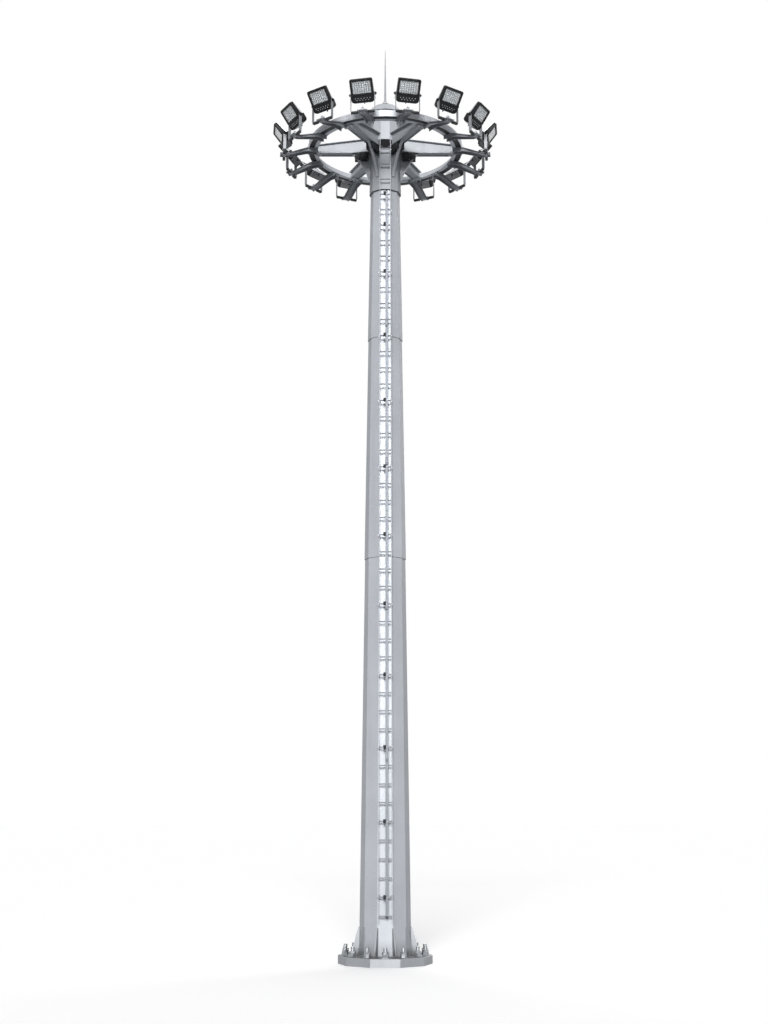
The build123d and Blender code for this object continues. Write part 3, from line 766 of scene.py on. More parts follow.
# ---------------------------------------------------------------- base
class MAST_OT_base_welds(bpy.types.Operator):
    """Weld the shaft and the gussets to the base flange"""

    bl_idname = "mast.base_welds"
    bl_label = "Base welds"

    def execute(self, context):
        size = context.scene.mast_fixings.heavy_bead
        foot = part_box("base_flange")[1].z
        gusset_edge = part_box("base_gussets")[1]
        gusset_half = 0.013
        sunk = 0.985             # share of the shaft's radius at which its own bead lies
        foot_radius = corner_radius("shaft_lower", foot)
        top_radius = corner_radius("shaft_lower", gusset_edge.z)
        runs = shaft_ring(foot_radius * sunk, foot, trim=2 * gusset_half / foot_radius)
        for azimuth in CORNERS[:-1]:
            for side in SIDES:
                aside = outward(azimuth).cross(UP) * gusset_half * side
                inner = spot(azimuth, foot_radius - gusset_half / 2, foot) + aside
                runs.append((inner, spot(azimuth, gusset_edge.x - size, foot) + aside))
                high = spot(azimuth, top_radius - gusset_half / 2, gusset_edge.z - size) + aside
                runs.append((inner, high))
        settled(painted(beads(runs, size), "weld_zinc"), "base_welds", MAST)
        return {"FINISHED"}


class MAST_OT_stud_threads(bpy.types.Operator):
    """Cut the thread on the free end of each anchor stud and face the lock nuts"""

    bl_idname = "mast.stud_threads"
    bl_label = "Anchor stud threads"

    def execute(self, context):
        pitch = context.scene.mast_fixings.thread_pitch
        nuts_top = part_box("anchor_nuts")[1].z
        studs_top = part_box("anchor_studs")[1].z
        core, crest = 0.0333, 0.0352      # radii of the thread's root and its tip
        nut_radius, tip_radius, chamfer, sides = 0.048, 0.031, 0.004, 20
        bpy.ops.object.select_all(action="DESELECT")
        bpy.ops.mesh.primitive_circle_add(
            vertices=3, radius=pitch * 0.55, fill_type="NGON", rotation=(math.pi / 2, 0, 0))
        thread = set_in_place()
        low, high = box_of([vertex.co for vertex in thread.data.vertices])
        stretch = Matrix.Diagonal(((crest - core) * 1.6 / (high.x - low.x), 1, 1, 1))
        placed(thread, at(x=core) @ stretch)
        turns = int((studs_top - nuts_top) / pitch) - 1
        modified(
            thread, "SCREW", screw_offset=pitch, iterations=turns, steps=16, render_steps=16,
            use_merge_vertices=False, use_normal_calculate=True)
        faces_out(thread)
        nut_face = panelled(round_bar(nut_radius, 0.002, sides), looking(UP), (chamfer, 0.0012))
        tip_rise, tip_dome = 0.003, 0.002
        stud_tip = panelled(round_bar(tip_radius, tip_rise, sides), looking(UP), (chamfer, tip_dome))
        placed(thread, at(z=nuts_top + pitch * 0.7))
        placed(nut_face, at(z=nuts_top))
        placed(stud_tip, at(z=studs_top - tip_rise - tip_dome - 1e-4))
        stud = painted(joined([thread, nut_face, stud_tip]), "anchor_zinc")
        middles = [(low + high) / 2 for low, high in solids("anchor_studs")]
        studs = scattered(stud, [at(middle.x, middle.y) for middle in middles])
        settled(studs, "stud_threads", MAST)
        return {"FINISHED"}


# ---------------------------------------------------------------- shaft
class MAST_OT_shaft_seams(bpy.types.Operator):
    """Run the long seam welds up the shaft and seal the slip joints"""

    bl_idname = "mast.shaft_seams"
    bl_label = "Shaft seams"

    def execute(self, context):
        size = context.scene.mast_fixings.light_bead
        sections = ["shaft_lower", "shaft_middle", "shaft_upper"]
        feet = [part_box(node)[0].z for node in (*sections, "head_collar")]
        seams = []
        for section, (foot, end) in zip(sections, pairwise(feet)):
            for azimuth in SEAM_AZIMUTHS:
                seams.append((spot(azimuth, corner_radius(section, foot) * APOTHEM, foot + size),
                              spot(azimuth, corner_radius(section, end) * APOTHEM, end - size)))
        settled(painted(beads(seams, size), "weld_zinc"), "shaft_seams", MAST)
        joints = []
        for section, level in zip(sections[:-1], feet[1:]):
            joints += shaft_ring(corner_radius(section, level), level)
        settled(painted(beads(joints, size * 1.2), "dark_paint_and_shade"), "joint_seals", MAST)
        return {"FINISHED"}


# ---------------------------------------------------------------- ladder and safety rail
class MAST_OT_ladder_fittings(bpy.types.Operator):
    """Weld the rungs and bolt the stand-offs of the ladder"""

    bl_idname = "mast.ladder_fittings"
    bl_label = "Ladder fittings"

    def execute(self, context):
        rails = points_of("ladder_rails")
        rail_low, rail_high = box_of(rails)
        top_band = 0.05
        top_half = max(point.x for point in rails if point.z > rail_high.z - top_band)
        plugs = []
        for low, high in solids("ladder_rungs"):
            middle = (low + high) / 2
            share = (middle.z - rail_low.z) / (rail_high.z - rail_low.z)
            half = rail_high.x + share * (top_half - rail_high.x)
            for side in SIDES:
                plugs.append(facing(Vector((side * half, middle.y, middle.z)), RIGHT * side))
        plug = painted(dome_screw(0.013, 0.003, sides=10), "weld_zinc")
        settled(scattered(plug, plugs), "rung_welds", MAST)
        bolts, pads = [], []
        bolt_back = 0.018        # how far a bolt's middle lies behind the front of its stand-off
        for low, high in solids("ladder_standoffs"):
            side = math.copysign(1, (low + high).x)
            outer = max(abs(low.x), abs(high.x)) * side
            level = (low.z + high.z) / 2
            bolts.append(facing(Vector((outer, low.y + bolt_back, level)), RIGHT * side))
            pads.append(at((low.x + high.x) / 2, high.y, level))
        bolt = painted(hex_bolt(context.scene.mast_fixings.small_bolt), "bolt_steel")
        settled(scattered(bolt, bolts), "standoff_bolts", MAST)
        half = Vector((0.022, 0.008, 0.030))
        pad = painted(panel(-half, half, looking(FRONT), [(0.006, 0.003)], edge=0.002), "ladder_zinc")
        settled(scattered(pad, pads), "standoff_pads", MAST)
        return {"FINISHED"}


class MAST_OT_rail_fittings(bpy.types.Operator):
    """Bolt the clamps of the safety rail and put on its joint plates and end stops"""

    bl_idname = "mast.rail_fittings"
    bl_label = "Safety rail fittings"

    def execute(self, context):
        across = context.scene.mast_fixings.small_bolt * 0.8
        edge_gap = 0.006         # from a clamp's side to the middle of its bolt
        bolts, claws = [], []
        for low, high in solids("safety_clamps"):
            level = (low.z + high.z) / 2
            claws.append(at(y=low.y, z=level))
            for x in (low.x + edge_gap, high.x - edge_gap):
                bolts.append(facing(Vector((x, low.y, level)), FRONT))
        bolt = painted(hex_bolt(across, washer=False), "bolt_steel")
        settled(scattered(bolt, bolts), "clamp_bolts", MAST)
        claw_left, claw_right, claw_front, claw_half, claw_rise = -0.036, 0.012, -0.034, 0.036, 0.003
        claw = panel(
            (claw_left, claw_front, -claw_half), (claw_right, 0.004, claw_half), looking(FRONT),
            [(0.006, claw_rise)], edge=0.003)
        nut_foot = Vector((claw_left / 2, claw_front - claw_rise, 0))
        nut = placed(hex_bolt(across * 1.2), facing(nut_foot, FRONT))
        claw = painted(joined([claw, nut]), "dark_paint_and_shade")
        settled(scattered(claw, claws), "clamp_claws", MAST)

        low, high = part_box("safety_rail")
        half_depth, spans = 0.012, 5
        foot = Vector(((low.x + high.x) / 2, low.y + half_depth, low.z))
        run = Vector((foot.x, high.y - half_depth, high.z)) - foot
        lean = facing(foot, run, FRONT)
        stop = panel((-0.026, -0.015, -0.014), (0.026, 0.015, 0.002), looking(-UP),
                     [(0.005, 0.004)], edge=0.002)
        ends = [lean, lean @ at(z=run.length) @ Matrix.Rotation(math.pi, 4, "Y")]
        half = Vector((0.027, 0.0145, 0.075))
        plate = panel(-half, half, lying(UP), [(0.004, -0.002)], edge=0.0015)
        joints = [lean @ at(y=0.004, z=run.length * span / spans) for span in range(1, spans)]
        stops = painted(scattered(stop, ends), "dark_paint_and_shade")
        plates = painted(scattered(plate, joints), "rail_steel")
        settled(joined([stops, plates]), "rail_joints", MAST)
        return {"FINISHED"}


# ---------------------------------------------------------------- head frame
class MAST_OT_head_seals(bpy.types.Operator):
    """Seal the collar and roll the cap's edge in dark paint that also stands for the shade along them,
    and close the gap under the drum with a dark band that stands for the shade there (painted shade)
    """

    bl_idname = "mast.head_seals"
    bl_label = "Head seals"

    def execute(self, context):
        size = context.scene.mast_fixings.light_bead * 1.6
        lip = size * 0.4
        low, high = (corner.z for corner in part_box("head_collar"))
        # dark seal beads at the collar's rims; their dark paint also stands for the shade along the rims
        # (painted shade)
        seals = shaft_ring(corner_radius("head_collar", low) - lip, low)
        seals += shaft_ring(corner_radius("shaft_upper", high) + lip, high)

        # the cap's rolled edge, painted dark to stand for the shadow between the cap's rim and the ring
        # (painted shade)
        cap_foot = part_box("cap_dome")[0].z
        edge_rise, edge_size, edge_share = 0.034, 0.015, 0.995
        rim = {(round(p.x, 4), round(p.y, 4)) for p in points_of("cap_dome") if p.z < cap_foot + NEAR}
        edge = [Vector((x * edge_share, y * edge_share, cap_foot + edge_rise))
                for x, y in sorted(rim, key=lambda place: math.atan2(*place))]
        rolled = beads(pairwise([*edge, edge[0]]), edge_size)

        # a dark, rough band round the shaft under the drum that stands for the shade there (painted
        # shade)
        drum_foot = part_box("head_drum")[0].z
        slack, wall, level = 0.004, 0.014, 0.1
        drum_shade_band = round_bar(
            corner_radius("shaft_upper", drum_foot) + wall, drum_foot - high - 2 * slack, SHAFT_SIDES)
        placed(drum_shade_band, at(z=high + slack) @ turned(math.pi / SHAFT_SIDES))
        bevelled(drum_shade_band, lambda middle, way: abs(way.z) < level, 0.008, segments=2)
        seals = painted(joined([beads(seals, size), rolled]), "dark_paint_and_shade")
        settled(joined([seals, painted(drum_shade_band, "drum_shade_band_rubber")]), "head_seals", MAST)
        return {"FINISHED"}


class MAST_OT_ring_splices(bpy.types.Operator):
    """Bolt the ring's segments together outside, over every arm, and lay a dark sheet in its channel as
    painted shade
    """

    bl_idname = "mast.ring_splices"
    bl_label = "Ring splices"

    def execute(self, context):
        across = context.scene.mast_fixings.frame_bolt * 0.7
        level = (RING_FOOT + RING_TOP) / 2
        bolt_columns, bolt_rows, bolt_seat = (-0.100, -0.050, 0.050, 0.100), (-0.026, 0.026), 0.010
        half = Vector((0.130, 0.008, (RING_TOP - RING_FOOT) / 2 - 0.014))
        centre = Vector((0, -RING_RADIUS, level))
        plate = panel(centre - half, centre + half, looking(FRONT), [(0.006, 0.002)], edge=0.003)
        bolts = [facing(Vector((x, -RING_RADIUS - bolt_seat, level + z)), FRONT)
                 for x, z in product(bolt_columns, bolt_rows)]
        fixing = scattered(hex_bolt(across), bolts)
        # a dark sheet in the ring's channel that stands for the shade inside it (painted shade)
        channel_shade_radius, channel_shade_width, channel_shade_rise, channel_shade_sides = RING_RADIUS - 0.026, 0.076, 0.006, 72
        channel_shade = placed(round_bar(channel_shade_radius, 0.010, channel_shade_sides), at(z=RING_FOOT + channel_shade_rise))
        opened(channel_shade, lying(UP), rim=channel_shade_width)
        settled(painted(faces_out(channel_shade), "dark_paint_and_shade"), "ring_channel_shade", MAST)
        for piece, name in ((plate, "splice_plates"), (fixing, "splice_bolts")):
            settled(scattered(painted(piece, "ring_zinc"), ARM_PLACES), name, MAST)
        return {"FINISHED"}


class MAST_OT_arm_fittings(bpy.types.Operator):
    """Weld the arms to the drum and the knees, and bolt them under the ring"""

    bl_idname = "mast.arm_fittings"
    bl_label = "Arm welds and bolts"

    def execute(self, context):
        fixings = context.scene.mast_fixings
        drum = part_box("head_drum")[1].y
        arm_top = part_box("head_arms")[1].z
        web_half, flange_half, flange = 0.006, 0.058, 0.012
        knee_end = 0.66              # how far out the knee's own weld reaches
        rim = RING_RADIUS - 0.128    # inner wall of the ring's channel
        runs = []
        for side in SIDES:
            web = side * web_half
            for (near, low), (far, high) in (
                    ((drum, RING_FOOT), (rim - 0.07, RING_FOOT)),
                    ((drum, RING_FOOT + 0.17), (drum, arm_top - flange)),
                    ((rim, RING_FOOT + 0.014), (rim, RING_TOP)),
                    ((drum, RING_FOOT - flange), (knee_end, RING_FOOT - flange))):
                runs.append((Vector((web, -near, low)), Vector((web, -far, high))))
            runs.append((Vector((side * flange_half, -drum, arm_top)), Vector((0, -drum, arm_top))))
        welds = painted(beads(runs, fixings.light_bead), "weld_zinc")
        plate = painted(panel(
            (-0.075, -rim + 0.018, RING_FOOT - 0.022), (0.075, -rim + 0.150, RING_FOOT - 0.0115),
            looking(-UP), [(0.006, 0.002)], edge=0.002), "frame_zinc")
        bolts = []
        bolt_columns, bolt_rows, bolt_seat = (-0.050, 0.050), (0.045, 0.125), 0.024
        for x, back in product(bolt_columns, bolt_rows):
            bolts.append(facing(Vector((x, -rim + back, RING_FOOT - bolt_seat)), -UP))
            bolts.append(facing(Vector((x, -rim + back, RING_FOOT)), UP))
        bolts = painted(scattered(hex_bolt(fixings.frame_bolt), bolts), "bolt_steel")
        arm = joined([welds, plate, bolts])
        settled(scattered(arm, ARM_PLACES), "arm_fittings", MAST)
        return {"FINISHED"}


class MAST_OT_box_fittings(bpy.types.Operator):
    """Give every junction box its lid, its screws, its glands and a terminal box beside it"""

    bl_idname = "mast.box_fittings"
    bl_label = "Junction box fittings"

    def execute(self, context):
        boxes, lids = [], []
        beside = 0.1             # the arm's own boxes lie this near to its middle plane
        for space in ARM_PLACES:
            for low, high in solids("junction_boxes", space):
                reach = max(abs(low.x), abs(high.x))
                if high.y > 0 or reach > beside:
                    continue
                boxes.append((low, high))
                middle = (low + high) / 2
                side = math.copysign(1, middle.x)
                foot = Vector((side * reach, middle.y, middle.z))
                lids.append(space @ facing(foot, RIGHT * side))
        low, high = boxes[-1]
        size = high - low
        rim = 0.004
        half = Vector((size.y / 2 - rim, size.z / 2 - rim, rim))
        lid = panel(-half, half, looking(UP), [(0.014, 0), (0.003, 0.003)], edge=0.0015)
        corner = half - Vector((0.008, 0.008, 0))
        screws = scattered(dome_screw(0.005, 0.004), [
            at(x, y, half.z) for x, y in product((-corner.x, corner.x), (-corner.y, corner.y))])
        gland_places = [
            facing(Vector((x, -size.z / 2, -size.x / 2)), FRONT) for x in (-0.045, 0.0, 0.045)]
        glands = scattered(cable_gland(0.026, 0.011, 0.012, seat=0.018), gland_places)
        inner, outer = 0.034, 0.088
        shells = []
        for side in SIDES:
            near, far = sorted((side * inner, side * outer))
            shells.append(panel(
                (near, low.y - 0.125, low.z + 0.014), (far, low.y - 0.004, high.z - 0.001),
                looking(RIGHT * side), [(0.010, 0), (0.003, 0.003)], edge=0.002))
        shells = painted(joined(shells), "dark_paint_and_shade")
        settled(scattered(shells, ARM_PLACES), "terminal_boxes", MAST)
        fittings = joined([
            painted(lid, "dark_paint_and_shade"), painted(screws, "bolt_steel"), painted(glands, "dark_paint_and_shade")])
        settled(scattered(fittings, lids), "box_fittings", MAST)
        return {"FINISHED"}


class MAST_OT_cap_fittings(bpy.types.Operator):
    """Run the seams over the cap, bolt its rim and seat the lightning rod"""

    bl_idname = "mast.cap_fittings"
    bl_label = "Cap and rod fittings"

    def execute(self, context):
        fixings = context.scene.mast_fixings
        foot, seat = (corner.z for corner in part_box("cap_dome"))
        points = points_of("cap_dome")
        rolled, skirt, neck, bolt_rise = 0.02, 0.2, 0.28, 0.013
        widest = []
        for row in sorted({round(point.z, 3) for point in points}):
            corner = max((p for p in points if abs(p.z - row) < 1e-3), key=lambda p: p.xy.length)
            if corner.z > foot + rolled:
                widest.append(corner)
        rim = widest[0]
        crown = [p for p in widest if p.z > foot + skirt and (p.xy.length > neck or p.z > seat - 0.002)]
        profile = [(point.xy.length, point.z) for point in (rim, *crown)]
        sides = 20
        step = math.tau / sides
        first = math.atan2(rim.x, -rim.y)
        runs = []
        for azimuth in (first + side * step for side in range(0, sides, 2)):
            for low, high in pairwise(profile):
                runs.append((spot(azimuth, *low), spot(azimuth, *high)))
        seams = beads(runs, fixings.light_bead * 0.8)
        settled(painted(seams, "weld_zinc"), "cap_seams", MAST)
        reach = rim.xy.length * math.cos(math.pi / sides)
        places = []
        for azimuth in (first + (side + 0.5) * step for side in range(sides)):
            places.append(facing(spot(azimuth, reach, foot + bolt_rise), outward(azimuth)))
        bolts = scattered(hex_bolt(fixings.small_bolt, washer=False), places)
        rod_nut = 0.078
        nut = placed(hex_bolt(rod_nut), at(z=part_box("lightning_rod")[0].z))
        settled(painted(joined([bolts, nut]), "bolt_steel"), "cap_bolts", MAST)
        return {"FINISHED"}


# ---------------------------------------------------------------- floodlights
def on_each_lamp(piece, name):
    """Copies a piece from a lamp's own space to every lamp, removes it and returns the copies."""
    twins = [settled(copy_of(piece, SPACES[number]), f"{name}_{number:02d}", HEADS[number])
             for number in LAMPS]
    bpy.data.objects.remove(piece)
    return twins


class MAST_OT_housings(bpy.types.Operator):
    """Cast the housing of every floodlight with rounded corners, ribs, pivot pads and knobs"""

    bl_idname = "mast.housings"
    bl_label = "Lamp housings"

    def execute(self, context):
        sizes = context.scene.mast_lamp
        low, high = HOUSING
        lean = HEAD_CROWN - HEAD_BACK
        head = block((-LAMP_HALF, LAMP_FACE, DRIVER_SEAM), (LAMP_HALF, HEAD_BACK, high.z))
        shifted(
            head, lambda middle, way: middle.z > high.z - NEAR and middle.y > HEAD_BACK - NEAR, lean)
        driver = block((-LAMP_HALF, LAMP_FACE, low.z), (LAMP_HALF, high.y, DRIVER_SEAM))
        for piece, level, corner in (
                (head, high.z, sizes.housing_corner), (driver, low.z, sizes.driver_corner)):
            bevelled(
                piece, lambda middle, way: abs(way.y) > ALONG and abs(middle.z - level) < NEAR,
                corner, segments=6)
            softened(piece, 0.004)
        gap, seat, clear = 0.0003, 0.010, 0.01
        near, far = GLASS
        for ledge, depth in ((-gap, far.y + gap), (seat, LAMP_FACE + POCKET_DEPTH)):
            pocketed(head, (near.x + ledge, LAMP_FACE - clear, near.z + ledge),
                     (far.x - ledge, depth, far.z - ledge))

        rib_half, rib_depth, rib_top, rib_slope = 0.003, 0.046, high.z - 0.012, 0.022
        rib_count, row_half = 8, 0.205
        rib = block((-rib_half, HEAD_BACK - 0.002, DRIVER_SEAM + 0.001),
                    (rib_half, HEAD_BACK + rib_depth, rib_top))
        shifted(rib, looking(UP), lean, "FACE")
        shifted(
            rib, lambda middle, way: (
                middle.z > rib_top - NEAR and middle.y > HEAD_CROWN + rib_depth - NEAR), -rib_slope)
        places = [at(x=row_half * (2 * place / (rib_count - 1) - 1)) for place in range(rib_count)]
        ribs = scattered(softened(rib, 0.001, segments=1), places)

        knob_radius, knob_height = 0.032, 0.018
        knob = bevelled(round_bar(knob_radius, knob_height, 8), lying(UP), 0.006, segments=2)
        panelled(knob, looking(UP), (0.005, 0), (0.003, -0.003))
        placed(knob, at(z=high.x - knob_height))
        half, foot, top = 0.028, LAMP_HALF - 0.002, LAMP_HALF + 0.0068
        pad = softened(block((-half, -half, foot), (half, half, top)), 0.002)
        pin_radius, pin_height = 0.008, high.x - knob_height + 0.001 - LAMP_HALF
        pin = placed(dome_screw(pin_radius, pin_height, 12), at(z=LAMP_HALF))
        pivots = scattered(joined([knob, pad, pin]), [facing(Vector(), RIGHT * side) for side in SIDES])

        housing = painted(joined([head, driver, ribs, pivots]), "powder_coat")
        for number, twin in zip(LAMPS, on_each_lamp(housing, "housing")):
            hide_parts(f"floodlight_{number:02d}")
        return {"FINISHED"}


class MAST_OT_light_panels(bpy.types.Operator):
    """Lay the diode panel behind the glass of every floodlight"""

    bl_idname = "mast.light_panels"
    bl_label = "Light panels"

    def execute(self, context):
        sizes = context.scene.mast_lamp
        edge, thickness = 0.0135, 0.0034
        back = LAMP_FACE + POCKET_DEPTH - 0.0006
        front = back - thickness
        low = Vector((GLASS[0].x + edge, front, GLASS[0].z + edge))
        high = Vector((GLASS[1].x - edge, back, GLASS[1].z - edge))
        board = painted(panelled(block(low, high), looking(FRONT), (0.004, 0.001)), "diode_board")
        width = (high.x - low.x) / sizes.diode_columns
        height = (high.z - low.z) / sizes.diode_rows
        radius, collar, dome, crown = min(width, height) * 0.40, 0.0015, 0.003, 0.0015
        lens = panelled(
            round_bar(radius, collar, 8), looking(UP), (radius * 0.25, dome), (radius * 0.35, crown))
        places = []
        for column, row in product(range(sizes.diode_columns), range(sizes.diode_rows)):
            foot = Vector((low.x + width * (column + 0.5), front, low.z + height * (row + 0.5)))
            places.append(facing(foot, FRONT))
        lenses = scattered(painted(lens, "diode_lens"), places)
        on_each_lamp(joined([board, lenses]), "light_panel")
        return {"FINISHED"}


class MAST_OT_bezels(bpy.types.Operator):
    """Frame the glass of every floodlight and cover its driver box"""

    bl_idname = "mast.bezels"
    bl_label = "Bezels and driver covers"

    def execute(self, context):
        sizes = context.scene.mast_lamp
        lip = 0.004
        grow = sizes.bezel_margin - lip
        middle = (GLASS[0] + GLASS[1]) / 2
        span = GLASS[1] - GLASS[0]
        half = Vector((span.x / 2 + grow, 0, span.z / 2 + grow))
        front = Vector((0, LAMP_FACE - sizes.bezel_rise, middle.z))
        bezel = block(front - half, front + half + Vector((0, sizes.bezel_rise, 0)))
        bevelled(bezel, lying(FRONT), sizes.bezel_corner, segments=5)
        opened(bezel, lying(FRONT), rim=sizes.bezel_margin)
        panelled(bezel, looking(FRONT), (0.002, 0.0012))
        cover_half = LAMP_HALF - 0.050
        cover = panel(
            (-cover_half, LAMP_FACE - 0.003, HOUSING[0].z + 0.018),
            (cover_half, LAMP_FACE + 0.001, GLASS[0].z - sizes.bezel_margin - 0.004),
            looking(FRONT), [(0.006, 0.002)], edge=0.001)
        on_each_lamp(painted(joined([bezel, cover]), "powder_coat"), "bezel")
        return {"FINISHED"}


class MAST_OT_lamp_screws(bpy.types.Operator):
    """Screw down every bezel and driver cover and cap the pivots"""

    bl_idname = "mast.lamp_screws"
    bl_label = "Lamp screws"

    def execute(self, context):
        sizes = context.scene.mast_lamp
        bezel_face = LAMP_FACE - sizes.bezel_rise
        cover_face = LAMP_FACE - 0.005
        inset = sizes.bezel_margin / 2
        low = GLASS[0] - Vector((inset, 0, inset))
        high = GLASS[1] + Vector((inset, 0, inset))
        frame_spots = []
        across, up = (0.08, 0.36, 0.64, 0.92), (0.3, 0.7)     # shares of the frame's width and height
        for share in across:
            x = low.x + share * (high.x - low.x)
            frame_spots += [Vector((x, bezel_face, z)) for z in (low.z, high.z)]
        for share in up:
            z = low.z + share * (high.z - low.z)
            frame_spots += [Vector((x, bezel_face, z)) for x in (low.x, high.x)]
        cover_spots = []
        pitch = 0.058
        for rise, count in ((0.050, 5), (0.084, 6)):
            for place in range(count):
                x = (place - (count - 1) / 2) * pitch
                cover_spots.append(Vector((x, cover_face, HOUSING[0].z + rise)))
        groups = []
        screw_height = 0.003
        for spots, radius, finish in (
                (frame_spots, 0.0055, "powder_coat"), (cover_spots, 0.0065, "screw_steel")):
            places = [facing(foot, FRONT) for foot in spots]
            groups.append(painted(scattered(dome_screw(radius, screw_height), places), finish))
        nut = painted(hex_bolt(0.022), "powder_coat")
        ends = [facing(RIGHT * side * HOUSING[1].x, RIGHT * side) for side in SIDES]
        on_each_lamp(joined([*groups, scattered(nut, ends)]), "lamp_screws")
        return {"FINISHED"}


class MAST_OT_heat_sinks(bpy.types.Operator):
    """Fit the thin cooling fins on the back of every floodlight"""

    bl_idname = "mast.heat_sinks"
    bl_label = "Heat sinks"

    def execute(self, context):
        sizes = context.scene.mast_lamp
        foot, top = 0.010, HOUSING[1].z - 0.006
        half, fin_half, plate_rise = LAMP_HALF - 0.010, 0.0015, 0.003
        seat = HEAD_BACK - 0.004
        plate = block((-half, seat, foot), (half, HEAD_BACK + plate_rise, top))
        fin = block((-half - fin_half, seat, foot), (-half + fin_half, HEAD_BACK + sizes.fin_depth, top))
        for piece, slim in ((plate, 0.0), (fin, sizes.fin_depth * 0.5)):
            shifted(piece, looking(UP), HEAD_CROWN - HEAD_BACK, "FACE")
            shifted(
                piece, lambda middle, way: (
                    middle.z > top - NEAR and middle.y > HEAD_CROWN and abs(way.x) > ALONG), -slim)
        step = 2 * half / (sizes.fin_count - 1)
        fins = scattered(fin, [at(x=step * place) for place in range(sizes.fin_count)])
        on_each_lamp(painted(joined([plate, fins]), "fin_aluminium"), "heat_sink")
        return {"FINISHED"}


class MAST_OT_driver_pans(bpy.types.Operator):
    """Close the driver box of every floodlight below and behind with cast pans"""

    bl_idname = "mast.driver_pans"
    bl_label = "Driver pans"

    def execute(self, context):
        foot, rear = HOUSING[0].z, HOUSING[1].y
        half = LAMP_HALF - 0.048
        pan = panel(
            (-half, LAMP_FACE + 0.012, foot - 0.007), (half, rear - 0.010, foot + 0.002),
            looking(-UP), [(0.008, 0.002), (0.010, -0.003)], edge=0.0015)
        back = panel(
            (-half, rear - 0.002, foot + 0.020), (half, rear + 0.006, -0.010),
            looking(-FRONT), [(0.010, 0.003)], edge=0.0015)
        rib_half, rib_count, edge_gap = 0.002, 9, 0.030
        rib = block((-rib_half, rear + 0.008, foot + 0.034), (rib_half, rear + 0.020, -0.024))
        bevelled(rib, looking(-FRONT), 0.001, segments=1, kind="FACE")
        middle = (rib_count - 1) / 2
        step = (half - edge_gap) / middle
        ribs = scattered(rib, [at(x=step * (place - middle)) for place in range(rib_count)])
        gland = cable_gland(0.024, 0.009, 0.020, seat=0.016)
        placed(gland, facing(Vector((0, rear - 0.030, foot - 0.007)), -UP))
        cast = painted(joined([back, ribs]), "fin_aluminium")
        on_each_lamp(joined([painted(pan, "pan_grey"), cast, painted(gland, "dark_paint_and_shade")]), "driver_pan")
        return {"FINISHED"}


class MAST_OT_yoke_bolts(bpy.types.Operator):
    """Stiffen every yoke and bolt it to its outrigger, and every outrigger to the ring"""

    bl_idname = "mast.yoke_bolts"
    bl_label = "Yoke and outrigger bolts"

    def execute(self, context):
        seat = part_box("yokes")[0].z
        yoke_wall, plate = 0.007, 0.012
        base = seat + yoke_wall
        half_width, half_depth = 0.046, 0.028
        body, shoulder, neck = 0.034, 0.016, 0.014
        near, far = -PIVOT_RADIUS - half_depth, -PIVOT_RADIUS + half_depth
        turret = block((-half_width, near, base), (half_width, far, base + body))
        pick(turret, looking(UP))
        bpy.ops.mesh.inset(thickness=0.012, depth=shoulder)
        bpy.ops.mesh.extrude_region_move(TRANSFORM_OT_translate={"value": (0, 0, neck)})
        pieces = [painted(softened(done(turret), 0.003), "ring_zinc")]
        inner, outer = 0.099, 0.230
        for side in SIDES:
            left, right = sorted((side * inner, side * outer))
            bar = panel((left, near, seat - 0.032), (right, far, seat - 0.0003),
                        looking(-UP), [(0.006, -0.004)], edge=0.002)
            pieces.append(painted(bar, "dark_paint_and_shade"))
        lip = RING_RADIUS - 0.162      # middle of the ring's inner lip, where outriggers are bolted
        neck_top = base + body + shoulder + neck
        bolts = [facing(Vector((0, -PIVOT_RADIUS, neck_top - 0.001)), UP)]
        for side in SIDES:
            for x, radius, level, direction in (
                    (0.075, PIVOT_RADIUS, base, UP),
                    (0.035, PIVOT_RADIUS, seat - plate, -UP),
                    (0.075, lip, RING_FOOT + plate, UP),
                    (0.040, lip, RING_FOOT - plate, -UP)):
                bolts.append(facing(Vector((side * x, -radius, level)), direction))
        bolt = hex_bolt(context.scene.mast_fixings.frame_bolt)
        pieces.append(painted(scattered(bolt, bolts), "bolt_steel"))
        settled(scattered(joined(pieces), LAMP_PLACES), "yoke_bolts", MAST)
        return {"FINISHED"}


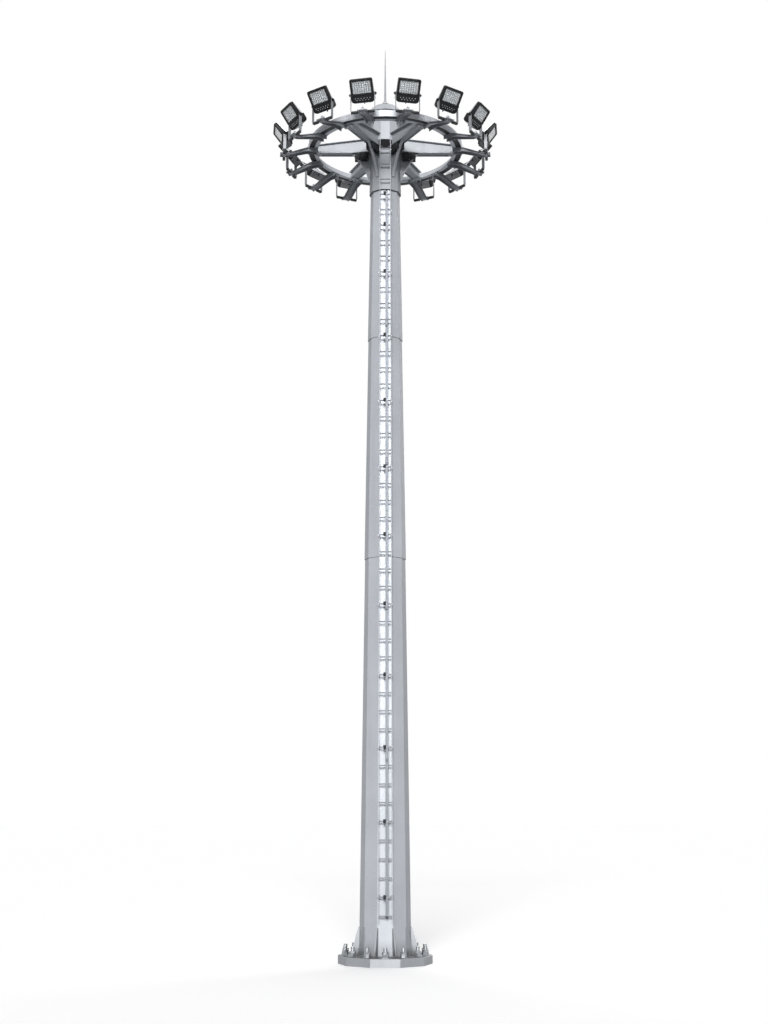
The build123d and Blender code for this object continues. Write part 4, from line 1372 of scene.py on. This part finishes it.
# ---------------------------------------------------------------- stage
class MAST_OT_stage(bpy.types.Operator):
    """Set up the floor, the white surround, the soft lights and the camera"""

    bl_idname = "mast.stage"
    bl_label = "Stage and camera"

    def execute(self, context):
        stage = context.scene.mast_stage
        self.surround(context, stage.ambient)
        self.floor()
        self.soft_light(context, "key_light", stage.key, azimuth=-3, elevation=18, spread=18)
        self.soft_light(context, "back_light", stage.back, azimuth=168, elevation=35, spread=60)
        self.camera(context, stage)
        context.scene.view_settings.view_transform = "Standard"
        return {"FINISHED"}

    @staticmethod
    def background_rays(tree):
        """A socket that is 1 for camera, glossy and transmission rays."""
        path = tree.nodes.new("ShaderNodeLightPath")
        total = path.outputs["Is Camera Ray"]
        for name in ("Is Glossy Ray", "Is Transmission Ray"):
            greater = tree.nodes.new("ShaderNodeMath")
            greater.operation = "MAXIMUM"
            tree.links.new(total, greater.inputs[0])
            tree.links.new(path.outputs[name], greater.inputs[1])
            total = greater.outputs[0]
        return total

    def surround(self, context, ambient):
        """A white world that lights evenly at the ambient strength."""
        world = bpy.data.worlds.new("studio")
        context.scene.world = world
        world.use_nodes = True
        tree = world.node_tree
        strength = tree.nodes.new("ShaderNodeMapRange")
        strength.inputs["To Min"].default_value = ambient
        strength.inputs["To Max"].default_value = 1.0
        tree.links.new(self.background_rays(tree), strength.inputs["Value"])
        background = tree.nodes["Background"]
        background.inputs["Color"].default_value = (1, 1, 1, 1)
        tree.links.new(strength.outputs["Result"], background.inputs["Strength"])

    def floor(self):
        """A floor that reaches the horizon: pale to the eye, duller for the light it returns."""
        dull, pale, glow = (0.42, 0.435, 0.46), (0.93, 0.93, 0.94), 0.33
        bpy.ops.object.select_all(action="DESELECT")
        bpy.ops.mesh.primitive_circle_add(
            vertices=64, radius=900, fill_type="NGON", location=(0, 0, -0.001))
        floor = set_in_place()
        floor.name = "floor"
        finish = Finish("pale_floor", pale, 0.9)
        finish.valued(Specular_IOR_Level=0.0, Emission_Color=(1, 1, 1, 1))
        shown = self.background_rays(finish.tree)
        finish.coloured(finish.mixed(shown, dull, pale))
        glowing = finish.node("ShaderNodeMath", {0: shown, 1: glow}, operation="MULTIPLY")
        finish.tree.links.new(glowing.outputs[0], finish.shader.inputs["Emission Strength"])
        floor.data.materials.append(finish.material)

    @staticmethod
    def soft_light(context, name, strength, azimuth, elevation, spread):
        """A very soft light from far away, its angles in degrees."""
        light = bpy.data.lights.new(name, "SUN")
        light.energy = strength
        light.angle = math.radians(spread)
        lamp = bpy.data.objects.new(name, light)
        context.scene.collection.objects.link(lamp)
        elevation = math.radians(elevation)
        source = spot(math.radians(azimuth), math.cos(elevation), math.sin(elevation))
        lamp.location = source * 30
        lamp.rotation_euler = (-source).to_track_quat("-Z", "Y").to_euler()

    @staticmethod
    def camera(context, stage):
        """The camera, low in front of the mast and aimed upwards."""
        lens = bpy.data.cameras.new("camera")
        lens.lens = stage.focal_length
        lens.sensor_width = 36         # in mm, along the image's longer side
        lens.shift_x = -0.0012
        lens.clip_end = 2000
        camera = bpy.data.objects.new("camera", lens)
        context.scene.collection.objects.link(camera)
        camera.location = spot(stage.camera_azimuth, stage.camera_distance, stage.camera_height)
        camera.rotation_euler = (math.pi / 2 + stage.camera_pitch, 0, stage.camera_azimuth)
        context.scene.camera = camera


class MAST_PT_tower(bpy.types.Panel):
    """Lists the tower's sizes and the steps that make its looks"""

    bl_label = "High mast"
    bl_idname = "MAST_PT_tower"
    bl_space_type = "VIEW_3D"
    bl_region_type = "UI"
    bl_category = "High mast"

    def draw(self, context):
        for name, group in SETTINGS.items():
            box = self.layout.box()
            box.label(text=group.__doc__)
            for prop in group.__annotations__:
                box.prop(getattr(context.scene, name), prop)
        for step in STEPS:
            self.layout.operator(step.bl_idname)


SETTINGS = {
    "mast_colours": MastColours,
    "mast_lamp": LampSizes,
    "mast_fixings": FixingSizes,
    "mast_stage": StageSettings,
}
STEPS = [
    MAST_OT_finishes,
    MAST_OT_stage,
    MAST_OT_base_welds,
    MAST_OT_stud_threads,
    MAST_OT_shaft_seams,
    MAST_OT_ladder_fittings,
    MAST_OT_rail_fittings,
    MAST_OT_head_seals,
    MAST_OT_ring_splices,
    MAST_OT_arm_fittings,
    MAST_OT_box_fittings,
    MAST_OT_cap_fittings,
    MAST_OT_housings,
    MAST_OT_light_panels,
    MAST_OT_bezels,
    MAST_OT_lamp_screws,
    MAST_OT_heat_sinks,
    MAST_OT_driver_pans,
    MAST_OT_yoke_bolts,
]


def register():
    """Registers the classes and hangs the settings on the scene."""
    for group in (*SETTINGS.values(), *STEPS, MAST_PT_tower):
        bpy.utils.register_class(group)
    for name, group in SETTINGS.items():
        setattr(bpy.types.Scene, name, bpy.props.PointerProperty(type=group))


def unregister():
    """Removes the settings and the classes."""
    for name in SETTINGS:
        delattr(bpy.types.Scene, name)
    for group in (MAST_PT_tower, *reversed(STEPS), *SETTINGS.values()):
        bpy.utils.unregister_class(group)


def main():
    """Makes the whole scene, step by step."""
    register()
    for step in STEPS:
        prefix, name = step.bl_idname.split(".")
        getattr(getattr(bpy.ops, prefix), name)()


if __name__ == "__main__":
    main()
